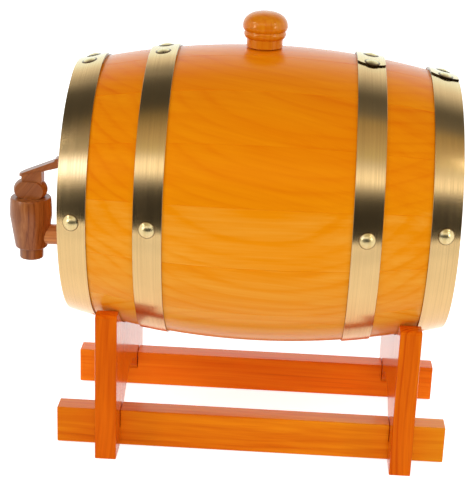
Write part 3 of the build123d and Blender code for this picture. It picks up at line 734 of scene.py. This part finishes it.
# %% Colour and node helpers
def colour(hex_value):
    """An sRGB hex colour as linear light."""
    parts = [int(hex_value[i:i + 2], 16) / 255 for i in (1, 3, 5)]
    return tuple(p / 12.92 if p <= 0.04045 else ((p + 0.055) / 1.055) ** 2.4 for p in parts) + (1.0,)


def link(tree, value, socket):
    """Link a socket, or the first output of a node, to a socket; or set its value."""
    if isinstance(value, bpy.types.Node):
        value = value.outputs[0]
    if isinstance(value, bpy.types.NodeSocket):
        tree.links.new(value, socket)
    else:
        socket.default_value = value


def add(tree, kind, sockets=None, **settings):
    """A shader node with its settings; each socket gets a value or a link."""
    node = tree.nodes.new("ShaderNode" + kind)
    for key, value in settings.items():
        setattr(node, key, value)
    for key, value in (sockets or {}).items():
        link(tree, value, node.inputs[key])
    return node


def set_stops(node, stops):
    """Stops of a colour ramp: a place with a hex colour, linear light or a grey level."""
    ramp = node.color_ramp
    while len(ramp.elements) > 1:
        ramp.elements.remove(ramp.elements[-1])
    for i, (place, value) in enumerate(stops):
        stop = ramp.elements[0] if i == 0 else ramp.elements.new(place)
        stop.position = place
        if isinstance(value, str):
            stop.color = colour(value)
        elif isinstance(value, tuple):
            stop.color = (*value, 1.0)
        else:
            stop.color = (value, value, value, 1.0)
    return node


def new_material(name, **shader):
    """A material with a Principled shader whose own sockets take the plain values."""
    material = bpy.data.materials.new(name)
    material.use_nodes = True
    surface = material.node_tree.nodes["Principled BSDF"]
    for key, value in shader.items():
        surface.inputs[key.replace("_", " ")].default_value = value
    return material, material.node_tree, surface


print("linear of #808080 is", round(colour("#808080")[0], 3))

# %% [markdown]
# ## Wood
# All the wood shows the same build: growth rings, which come out as long ovals,
# slanting lines or nearly straight ones, as the plank was cut and then shaped, fine
# fibres that run with the grain, and slow drifts of colour.  The rings are a distance
# from a pith line outside the piece, bent by slow noise, rippled by quick noise and
# cut into years.  A picture of wood could be wrapped round instead, but it would
# stretch and show seams.  Each piece keeps on its points where it lay in its plank,
# in an attribute that the material reads.  The grain runs along Y there, so
# neighbouring staves differ as real ones do, and the figure runs on over edges.

# %% Where a piece lay in its plank
GRAIN_TURN = {"Y": Matrix(), "Z": Matrix.Rotation(math.radians(-90), 4, "X")}


def set_plank(piece, grain, centre=AXIS_POINT, turn=0.0, slope=0.0, shift=(0, 0, 0)):
    """Place in the plank in metres; turn is about the cask's axis, slope is of the grain."""
    matrix = Matrix.Translation(shift) @ Matrix.Rotation(math.radians(slope), 4, "X") @ GRAIN_TURN[grain]
    matrix = matrix @ Matrix.Rotation(math.radians(turn), 4, "Y") @ Matrix.Translation(-Vector(centre))
    layer = piece.data.attributes.new("plank", "FLOAT_VECTOR", "POINT")
    layer.data.foreach_set("vector", [part for v in piece.data.vertices for part in matrix @ v.co])


# (slope of the grain in degrees, shift across the plank in metres) of each stave
STAVE_CUTS = [(3, 0.03), (14, 0.06), (15, 0.07), (11, 0.06), (0, 0.05), (4, 0.07), (-3, -0.05), (6, 0.04),
              (-8, 0.06), (2, -0.06), (9, 0.05), (-5, 0.07), (-12, -0.04), (3, 0.05), (-6, 0.06), (8, -0.05)]
for number, (piece, (slope, across)) in enumerate(zip(staves, STAVE_CUTS)):
    set_plank(piece, "Y", turn=90 - number * STEP, slope=slope,
              shift=(0.0007 * (number * 5 % 7), 0.15 * (number * 7 % 5 - 2), across))
for number, piece in enumerate(head_boards):
    set_plank(piece, "Z", shift=(0.07 * number, 0.31 * number, 0.02 * number))
for number, piece in enumerate(boards.values()):
    set_plank(piece, "Z", slope=6 - 9 * number, shift=(0.03 * number, 0.4 * number, 0))
for number, piece in enumerate(rails.values()):
    set_plank(piece, "Y", slope=1, shift=(0.02 * number, 0.4 * number, 0.01))
set_plank(bung, "Z", BUNG_AT)
set_plank(tap_body, "Z", TAP_AT)
set_plank(key, "Z", TAP_AT, slope=38, shift=(0.01, 0.2, 0.02))
set_plank(tap_shank, "Y", TAP_AT)
print(len(STAVE_CUTS), "staves cut from their planks")

# %% A wood figure that any wooden piece can use
LATE_WOOD = [(0, 0.2), (0.3, 0.0), (0.6, 0.25), (0.84, 1.0), (0.95, 0.6), (1, 0.2)]     # darkness in a year
BENDS = [   # waves in a metre across and along the grain, detail, roughness, share of the warp
    (11, 3.2, 2.0, 0.45, 1),
    (60, 14, 1.0, 0.5, 1 / 9),
]
FIBRES = [  # the same waves for fibres of 1 mm, detail, roughness, and the range of the noise that is used
    (1000, 26, 3.0, 0.6, 0.3, 0.72),
    (230, 9, 2.0, 0.5, 0.34, 0.66),
]


def wood(name, stops, pith, ring, warp, fibre, mix, lean=0.0, **shader):
    """Wood whose grain runs along the plank's Y; pith and warp in metres, ring and fibre in mm.

    mix gives the shares of late wood, threads, streaks and drifts in the colour, and
    lean is painted shade: it makes the piece darker and redder with each metre upwards.
    """
    material, tree, surface = new_material(name, **shader)
    # the plank, bent slowly and rippled quickly
    place = add(tree, "Attribute", attribute_name="plank").outputs["Vector"]
    bent, drifts = place, []
    for across, along, detail, rough, share in BENDS:
        amount = warp * share
        noise = add(tree, "VectorMath", {0: place, 1: (across, along, across)}, operation="MULTIPLY")
        noise = add(tree, "TexNoise", {"Vector": noise, "Scale": 1.0, "Detail": detail, "Roughness": rough})
        drifts.append(noise)
        bend = noise.outputs["Color"]
        bend = add(tree, "VectorMath", {0: bend, 1: (0.5, 0.5, 0.5)}, operation="SUBTRACT")
        bent = add(tree, "VectorMath", {0: bend, 1: (amount, 0, amount), 2: bent}, operation="MULTIPLY_ADD")
    # years: the distance from the pith cut into rings, some strong and some faint
    cross = add(tree, "VectorMath", {0: bent, 1: (1, 0, 1)}, operation="MULTIPLY")
    radius = add(tree, "VectorMath", {0: cross, 1: (pith[0], 0, pith[1])}, operation="DISTANCE")
    year = add(tree, "Math", {0: radius.outputs["Value"], 1: 1000 / ring}, operation="MULTIPLY")
    part = add(tree, "Math", {0: year}, operation="FRACT")
    late = set_stops(add(tree, "ValToRGB", {"Fac": part}), LATE_WOOD)
    count = add(tree, "TexNoise", {"W": year, "Scale": 0.23, "Detail": 1.0}, noise_dimensions="1D")
    strong = add(tree, "MapRange", {"Value": count, "From Min": 0.38, "From Max": 0.66, "To Min": 0.1})
    late = add(tree, "Math", {0: late, 1: strong}, operation="MULTIPLY")
    # threads and broader streaks, drawn out along the grain
    lines = []
    for across, along, detail, rough, low, high in FIBRES:
        stretch = (across / fibre, along / fibre, across / fibre)
        line = add(tree, "VectorMath", {0: bent, 1: stretch}, operation="MULTIPLY")
        line = add(tree, "TexNoise", {"Vector": line, "Scale": 1.0, "Detail": detail, "Roughness": rough})
        lines.append(add(tree, "MapRange", {"Value": line, "From Min": low, "From Max": high}))
    thread, streak = lines
    drift = add(tree, "MapRange", {"Value": drifts[0], "From Min": 0.32, "From Max": 0.68})
    # painted shade: the height above the cask's axis, which lean turns into a darker, redder top and a
    # lighter lower part
    rise = add(tree, "SeparateXYZ", {0: add(tree, "TexCoord").outputs["Object"]}).outputs["Z"]
    rise = add(tree, "Math", {0: rise, 1: AXIS_POINT.z}, operation="SUBTRACT")
    # colour: all of it added up
    total = 0.0
    for part, share in zip((late, thread, streak, drift, rise), (*mix, lean)):
        total = add(tree, "Math", {0: part, 1: share, 2: total}, operation="MULTIPLY_ADD")
    link(tree, set_stops(add(tree, "ValToRGB", {"Fac": total}), stops), surface.inputs["Base Color"])
    # relief of a tenth of a millimetre under the lacquer, and duller dark wood
    height = add(tree, "Math", {0: thread, 1: -0.6, 2: late}, operation="MULTIPLY_ADD")
    bump = add(tree, "Bump", {"Height": height, "Strength": 0.12, "Distance": 0.00012})
    link(tree, bump, surface.inputs["Normal"])
    rough = shader["Roughness"]
    gloss = add(tree, "MapRange", {"Value": total, "To Min": rough - 0.03, "To Max": rough + 0.06})
    link(tree, gloss, surface.inputs["Roughness"])
    return material


print(len(BENDS), "bends,", len(FIBRES), "kinds of line,", len(LATE_WOOD), "tones in a year")

# %% [markdown]
# ### Orange-lacquered oak of the cask
# The staves are stained and sprayed with an orange lacquer, then rubbed to a soft
# gloss.  To the eye that gives a deep glowing colour whose reflections are orange
# too, and soft at their edges.  A clear coat over the wood would give white ones, so
# the shader's own specular is tinted instead.  The heads have the same finish with
# the grain upright, and the bung, which hands polish, is a little glossier and paler
# in its reflections.

# %% Lacquered wood of staves, heads and bung
CASK_STOPS = [(0.0, "#F4A83A"), (0.3, "#EE8E08"), (0.7, "#E27200"), (1.0, "#CC5800")]
BUNG_STOPS = [(0.0, "#E28E14"), (0.35, "#D67406"), (0.7, "#C25802"), (1.0, "#9A3E00")]
LACQUER, POLISH = (1.0, 0.5, 0.06, 1.0), (1.0, 0.78, 0.52, 1.0)     # tints of the reflections
GRAIN = (0.18, 0.11, 0.13, 0.22)
# painted shade: lean=3.6 darkens and reddens the staves towards the top of the cask
cask_wood = wood("lacquered_oak_staves", CASK_STOPS, pith=(-0.12, 0), ring=2.4, warp=0.01, fibre=1.3,
                 mix=GRAIN, lean=3.6, Roughness=0.23, IOR=1.45, Specular_Tint=LACQUER)
head_wood = wood("lacquered_oak_heads", CASK_STOPS, pith=(0.02, -0.14), ring=2.0, warp=0.012, fibre=1.2,
                 mix=GRAIN, Roughness=0.28, IOR=1.45, Specular_Tint=LACQUER)
bung_wood = wood("lacquered_bung", BUNG_STOPS, pith=(0.03, 0.02), ring=2.4, warp=0.006, fibre=0.7,
                 mix=(0.2, 0.12, 0.2, 0.36), Roughness=0.2, IOR=1.5, Specular_Tint=POLISH)
print("made", cask_wood.name, "and", head_wood.name, "and", bung_wood.name)

# %% [markdown]
# ### Red-orange lacquered wood of the stand
# The stand is a softer wood, stained redder and left glossier, so that its flat
# faces mirror what stands next to them.  Its boards show strong figure and its rails
# a nearly straight grain.  The left rail, which stands in the shade under the cask, has
# its own copy of the rail's colours, redder and painted brighter: painted light that
# makes up for that shade.

# %% Lacquered wood of boards and rails
BOARD_STOPS = [(0.0, "#EC7E0A"), (0.35, "#DC6206"), (0.65, "#C84A02"), (1.0, "#983000")]
RAIL_STOPS = [(0.0, "#F09C1A"), (0.35, "#E8820E"), (0.65, "#D86606"), (1.0, "#AC4200")]
# painted light: brighter and redder stops of the rail wood for the left rail, which lies in the cask's shade
LIT_RAIL_STOPS = [(0.0, "#FF9C28"), (0.35, "#FA8016"), (0.65, "#F06A0C"), (1.0, "#C44C04")]
RAIL_CUT = {"pith": (-0.02, -0.2), "ring": 2.8, "warp": 0.02, "fibre": 0.9, "mix": (0.15, 0.12, 0.26, 0.34),
            "Roughness": 0.16, "IOR": 1.52, "Specular_Tint": LACQUER}
board_wood = wood("lacquered_stand_boards", BOARD_STOPS, pith=(-0.11, 0.05), ring=2.2, warp=0.03, fibre=0.9,
                  mix=(0.36, 0.2, 0.2, 0.3), Roughness=0.16, IOR=1.45, Specular_Tint=LACQUER)
rail_wood = wood("lacquered_stand_rails", RAIL_STOPS, **RAIL_CUT)
painted_light_rail_wood = wood("lacquered_rail_painted_lighter", LIT_RAIL_STOPS, **RAIL_CUT)
print("made", board_wood.name, "and", rail_wood.name, "and", painted_light_rail_wood.name)

# %% [markdown]
# ### Turned hardwood of the tap
# The tap is plain brown hardwood, oiled but not lacquered, because lacquer would
# make the key stick.  That leaves a dull sheen and fine dark fibres along the piece.
# The shank is a duller peg of the same wood, whose colours are painted paler:
# painted light, since the shank sits in shade.

# %% Plain wood of the tap
TAP_STOPS = [(0.0, "#B67840"), (0.35, "#985A28"), (0.7, "#743A12"), (1.0, "#44220A")]
# painted light: the tap wood's colours made paler for the shank, which sits in shade
LIT_SHANK_STOPS = [(0.0, "#E8A664"), (0.35, "#CE8848"), (0.7, "#AC6832"), (1.0, "#78461E")]
TAP_CUT = {"pith": (0.05, 0.03), "ring": 2.6, "warp": 0.006, "fibre": 0.6, "mix": (0.3, 0.3, 0.25, 0.15)}
tap_wood = wood("oiled_tap_wood", TAP_STOPS, **TAP_CUT, Roughness=0.3, IOR=1.45)
painted_light_shank_wood = wood("oiled_shank_wood", LIT_SHANK_STOPS, **TAP_CUT, Roughness=0.38, IOR=1.4)
print("made", tap_wood.name, "and", painted_light_shank_wood.name)

# %% [markdown]
# ### Brushed brass
# The strip is brass that was brushed along its length, so fine lines run round the
# hoop, and its reflections are drawn out a little.  The lines are noise that changes
# fast across the strip and only nine times in a metre around it.  They are finer than
# this in life: about half a millimetre is the finest that shows.  Rivets and nails are
# pressed and bright, with faint clouds.  Cut edges are painted a dull dark brown, which
# draws a thin line round each strip and head; it stands partly for the duller cut brass
# and partly for painted shade in the gap beside a strip and round a head's rim.  The
# points that `mark_edges` marked say where.  An anisotropic shader would draw out the
# reflections too, but it shows no single lines.

# %% Brass of the hoops and bright brass of rivets and nails
# painted shade: dark brown painted on the cut sides of the strips and on the rims of rivets and nails
EDGE_AND_SHADE_BROWN = "#6A4A24"


def brass(name, base, dark, line, rough, strength):
    """Brass between two tones; line is the width of a brushed line in millimetres."""
    material, tree, surface = new_material(name, Metallic=1.0, Roughness=rough)
    place = add(tree, "TexCoord").outputs["Object"]
    lines = add(tree, "VectorMath", {0: place, 1: (9, 1000 / line, 9)}, operation="MULTIPLY")
    lines = add(tree, "TexNoise", {"Vector": lines, "Scale": 1.0, "Detail": 3.0, "Roughness": 0.6})
    cloud = add(tree, "TexNoise", {"Vector": place, "Scale": 60.0, "Detail": 3.0})
    total = add(tree, "Math", {0: cloud, 1: 0.4, 2: lines}, operation="MULTIPLY_ADD")
    tint = set_stops(add(tree, "ValToRGB", {"Fac": total}), [(0.45, dark), (0.95, base)])
    # painted shade: marked points take the dark brown instead of the brass colour
    edge = add(tree, "Attribute", attribute_name="dull_edge_and_painted_shade").outputs["Fac"]
    tint = add(tree, "Mix", {"Factor": edge, 6: tint, 7: colour(EDGE_AND_SHADE_BROWN)}, data_type="RGBA")
    link(tree, tint.outputs[2], surface.inputs["Base Color"])
    gloss = add(tree, "MapRange", {"Value": total, "From Min": 0.4, "From Max": 1.0,
                                   "To Min": rough + 0.06, "To Max": rough - 0.04})
    link(tree, gloss, surface.inputs["Roughness"])
    bump = add(tree, "Bump", {"Height": lines, "Strength": strength, "Distance": 0.00005})
    link(tree, bump, surface.inputs["Normal"])
    return material


hoop_brass = brass("brushed_brass_strip", "#E3C187", "#D6B27A", 0.6, 0.18, 0.17)
bright_brass = brass("bright_brass_heads", "#EAD6A2", "#D6BC80", 2.0, 0.28, 0.05)
print("made", hoop_brass.name, "and", bright_brass.name)

# %% Give each piece its finish
def finish_with(material, *pieces):
    """The one material of each piece, whatever slots its making left."""
    for piece in pieces:
        piece.data.materials.clear()
        piece.data.materials.append(material)


finish_with(cask_wood, *staves)
finish_with(head_wood, *head_boards)
finish_with(bung_wood, bung)
finish_with(board_wood, *boards.values())
finish_with(rail_wood, rails["right_rail"])
# painted light: the left rail gets the brighter copy of the rail wood
finish_with(painted_light_rail_wood, rails["left_rail"])
finish_with(tap_wood, tap_body, key)
# painted light: the shank gets the paler copy of the tap wood
finish_with(painted_light_shank_wood, tap_shank)
finish_with(hoop_brass, *hoops.values())
finish_with(bright_brass, *rivets, *nails)
print(len([m for m in bpy.data.materials if m.use_nodes]), "materials with nodes")

# %% [markdown]
# ## Room and light
# A white floor carries the part.  Brass and lacquer show what stands round them, so
# the room matters as much as the lamps.  Three things are kept apart by the kind of
# ray that meets the room:
#
# - The camera sees plain white.
# - Matt surfaces get a nearly even light, a little stronger from above, with a glow
#   from low down behind.
# - Reflections get bright and dark bands, one over the other: dark at the bottom and
#   the top of the near side with a bright window between, pale behind.  They differ
#   on the right and the left, and fade into a plain wall at both ends.
#
# The bands could be real panels, but these would also light the wood and throw
# shadows.  The floor does the same in small: white to the camera, banded in
# reflections.

# %% Floor
def make_floor():
    bpy.ops.object.select_all(action="DESELECT")
    bpy.ops.mesh.primitive_plane_add(size=1, location=(-1.8, 0, 0))
    floor = bpy.context.object
    floor.name = "floor"
    floor.scale = (4.6, 8, 1)
    bpy.ops.object.transform_apply(location=True, rotation=True, scale=True)
    material, tree, surface = new_material("matte_white_board", Roughness=0.9, Specular_IOR_Level=0.0)
    surface.inputs["Base Color"].default_value = colour("#F4F4F4")
    path = add(tree, "LightPath")
    along = add(tree, "SeparateXYZ", {0: add(tree, "TexCoord").outputs["Object"]}).outputs["X"]
    along = add(tree, "Math", {0: along, 1: 0.2}, operation="ADD")
    bands = set_stops(add(tree, "ValToRGB", {"Fac": along}),
                      [(0.1, 0.65), (0.35, 0.32), (0.43, 0.28), (0.49, 0.1), (0.57, 0.1), (0.64, 0.34)])
    bands = add(tree, "Math", {0: path.outputs["Is Glossy Ray"], 1: bands}, operation="MULTIPLY")
    to_camera = path.outputs["Is Camera Ray"]
    glow = add(tree, "Math", {0: to_camera, 1: 0.74, 2: bands}, operation="MULTIPLY_ADD")
    link(tree, glow, surface.inputs["Emission Strength"])
    surface.inputs["Emission Color"].default_value = (1, 1, 1, 1)
    finish_with(material, floor)


make_floor()
print("floor laid")

# %% World
BANDS = {       # grey or coloured light by height, from level (0) to straight up (1)
    "near": [(0.0, 0.03), (0.26, 0.05), (0.37, 0.3), (0.44, 0.9), (0.5, 1.6), (0.6, 1.6), (0.66, 1.1),
             (0.7, (0.78, 0.74, 0.55)), (0.76, (0.66, 0.58, 0.36)), (0.85, (0.58, 0.48, 0.3)),
             (0.92, (0.46, 0.37, 0.22)), (0.97, (0.28, 0.23, 0.13)), (1.0, 0.07)],
    "near_right": [(0.0, 0.03), (0.26, 0.05), (0.37, 0.3), (0.44, 0.9), (0.5, 1.6), (0.6, 1.3), (0.68, 0.8),
                   (0.76, (0.66, 0.6, 0.38)), (0.87, (0.58, 0.49, 0.31)), (0.95, (0.5, 0.4, 0.24)),
                   (0.985, (0.44, 0.35, 0.19)), (1.0, 0.2)],
    "near_left": [(0.0, 0.04), (0.22, 0.12), (0.36, 0.8), (0.48, (2.2, 2.4, 3.2)), (0.62, (2.2, 2.5, 3.6)),
                  (0.68, 1.3), (0.73, 0.4), (0.84, 0.26), (0.93, 0.18), (1.0, 0.06)],
    "far": [(0.0, (1.25, 1.48, 1.55)), (0.5, (1.2, 1.42, 1.48)), (0.72, 0.98), (0.79, 0.78), (0.86, 0.28),
            (0.92, 0.1), (1.0, 0.07)],
    "far_right": [(0.0, (1.25, 1.48, 1.55)), (0.5, (1.2, 1.42, 1.48)), (0.72, 0.98), (0.79, 0.82),
                  (0.86, 0.52), (0.92, 0.27), (0.97, 0.1), (1.0, 0.14)],
    "wall": [(0.0, 1.2), (0.4, 1.0), (0.6, 0.35), (1.0, 0.08)],
}
FADES = {       # part of the direction, and where the fade along it starts and ends
    "to_right": ("Y", 0.02, 0.2), "to_left": ("Y", -0.42, -0.56), "to_near": ("X", -0.1, 0.2),
    "to_wall": ("aside", 0.72, 0.9),
}
JOINS = [       # what changes, by which fade, and into what; the far side ends up as the whole room
    ("near", "to_right", "near_right"), ("far", "to_right", "far_right"), ("near", "to_left", "near_left"),
    ("far", "to_near", "near"), ("far", "to_wall", "wall"), ("far", "matt", "even"),
    ("far", "camera", "white"),
]


def make_world():
    world = bpy.data.worlds.new("pale_room")
    bpy.context.scene.world = world
    world.use_nodes = True
    tree = world.node_tree
    parts = add(tree, "SeparateXYZ", {0: add(tree, "TexCoord").outputs["Generated"]})
    way = {axis: parts.outputs[axis] for axis in "XYZ"}
    way["aside"] = add(tree, "Math", {0: way["Y"]}, operation="ABSOLUTE")
    # height seen along the cask, Z / sqrt(1 - Y * Y), so that the bands run level along it
    across = add(tree, "Math", {0: way["Y"], 1: way["Y"]}, operation="MULTIPLY")
    across = add(tree, "Math", {0: 1.0001, 1: across}, operation="SUBTRACT")
    across = add(tree, "Math", {0: across}, operation="SQRT")
    height = add(tree, "Math", {0: way["Z"], 1: across}, operation="DIVIDE")
    room = {"white": (1, 1, 1, 1)}
    for name, stops in BANDS.items():
        ramp = add(tree, "ValToRGB", {"Fac": way["Z"] if name == "wall" else height})
        room[name] = set_stops(ramp, stops)
    even = add(tree, "MapRange", {"Value": way["Z"], "To Min": 0.25, "To Max": 0.5})
    behind = add(tree, "MapRange", {"Value": way["X"], "From Min": 0.05, "From Max": -0.4})
    low = add(tree, "MapRange", {"Value": way["Z"], "From Min": 0.72, "From Max": 0.5})
    room["even"] = add(tree, "Math", {0: behind, 1: low, 2: even}, operation="MULTIPLY_ADD")
    path = add(tree, "LightPath")
    fades = {"matt": path.outputs["Is Diffuse Ray"], "camera": path.outputs["Is Camera Ray"]}
    for name, (part, start, end) in FADES.items():
        fades[name] = add(tree, "MapRange", {"Value": way[part], "From Min": start, "From Max": end},
                          interpolation_type="SMOOTHSTEP")
    for what, fade, into in JOINS:
        join = add(tree, "Mix", {"Factor": fades[fade], 6: room[what], 7: room[into]}, data_type="RGBA")
        room[what] = join.outputs[2]
    link(tree, room["far"], tree.nodes["Background"].inputs["Color"])
    return tree


print(len(make_world().nodes), "nodes make the room")
bpy.context.scene.view_settings.view_transform = "Standard"

# %% [markdown]
# ### Lamps
# Soft boxes are lamps behind a white cloth, here area lights.  Four stand low and
# high to the left and the right, and leave small bright patches on nails, rivets and
# bung.  A wide one in front lights the near side and is hidden from reflections,
# because it would put a white bar on every hoop.  A sun lamp would be simpler, but
# its shadows are hard.

# %% Soft boxes
def soft_box(name, azimuth, elevation, away, size, watts):
    """Area light that looks at the middle of the cask."""
    turn, lift = math.radians(azimuth), math.radians(elevation)
    way = Vector((math.cos(lift) * math.cos(turn), math.cos(lift) * math.sin(turn), math.sin(lift)))
    lamp = bpy.data.objects.new(name, bpy.data.lights.new(name, "AREA"))
    bpy.context.scene.collection.objects.link(lamp)
    lamp.data.shape, lamp.data.size, lamp.data.size_y = "RECTANGLE", size[0], size[1]
    lamp.data.energy = watts
    lamp.location = AXIS_POINT + way * away
    lamp.rotation_euler = way.to_track_quat("Z", "Y").to_euler()
    return lamp


# azimuth and elevation in degrees, distance and size in metres, power in watts
soft_box("left_low_box", -54, 10, 1.3, (0.22, 0.32), 2.2)
soft_box("right_low_box", 54, 10, 1.3, (0.22, 0.32), 1.6)
soft_box("left_high_box", -68, 35, 1.3, (0.24, 0.24), 1.4)
soft_box("right_high_box", 60, 35, 1.3, (0.24, 0.24), 1.0)
soft_box("front_fill", 2.3, 27, 1.8, (0.6, 0.14), 10.5).visible_glossy = False

# %% [markdown]
# ## Bodies and nodes
# Each new piece stands for the CAD solid of the same shape and moves with its body:
# the cask with its hoops, heads and fixed tap, the bung, the key, and the stand.
# Shading is smoothed last.  Where flat faces meet small roundings, weighted normals
# let the large faces set the shading; a live modifier would do, but this one is
# applied, so that the pieces stay plain meshes.

# %% Say what each piece rides on and stands for
def stand_for(piece, body, slot, *nodes):
    """The body that carries a piece, and the solids it is seen instead of; its material slot is not used."""
    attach(piece, body)
    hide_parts(*nodes)
    smooth(piece)


def keep_flats_flat(*pieces):
    """Weighted normals: a rounded edge doesn't bend the shading of the face beside it."""
    for piece in pieces:
        weigh = piece.modifiers.new("flats", "WEIGHTED_NORMAL")
        weigh.keep_sharp = True
        bpy.context.view_layer.objects.active = piece
        bpy.ops.object.modifier_apply(modifier=weigh.name)


for number, piece in enumerate(staves):
    stand_for(piece, "cask", "cask_wood", f"stave_{number:02d}" if number else "bung_stave")
for end, set_of_boards in heads.items():
    for which, piece in set_of_boards.items():
        stand_for(piece, "cask", "cask_wood", f"{end}_head_{which}_board")
for name, piece in hoops.items():
    stand_for(piece, "cask", "hoop_brass", name)
for piece in rivets:
    stand_for(piece, "cask", "fastener_brass", "lap_rivets")
for piece in nails:
    stand_for(piece, "cask", "fastener_brass", "hoop_nails")
stand_for(bung, "bung", "bung_wood", "bung")
stand_for(tap_body, "cask", "tap_wood", "tap_body")
stand_for(tap_shank, "cask", "tap_wood", "tap_shank")
stand_for(key, "tap_key", "tap_wood", "tap_key")
for name, piece in {**boards, **rails}.items():
    stand_for(piece, "stand", "stand_wood", name)
keep_flats_flat(key, *boards.values(), *rails.values(), *head_boards, *staves)
turned = (bung, tap_body, tap_shank, key)
print(len([*staves, *head_boards, *hoops, *rivets, *nails, *turned, *boards, *rails]), "pieces")
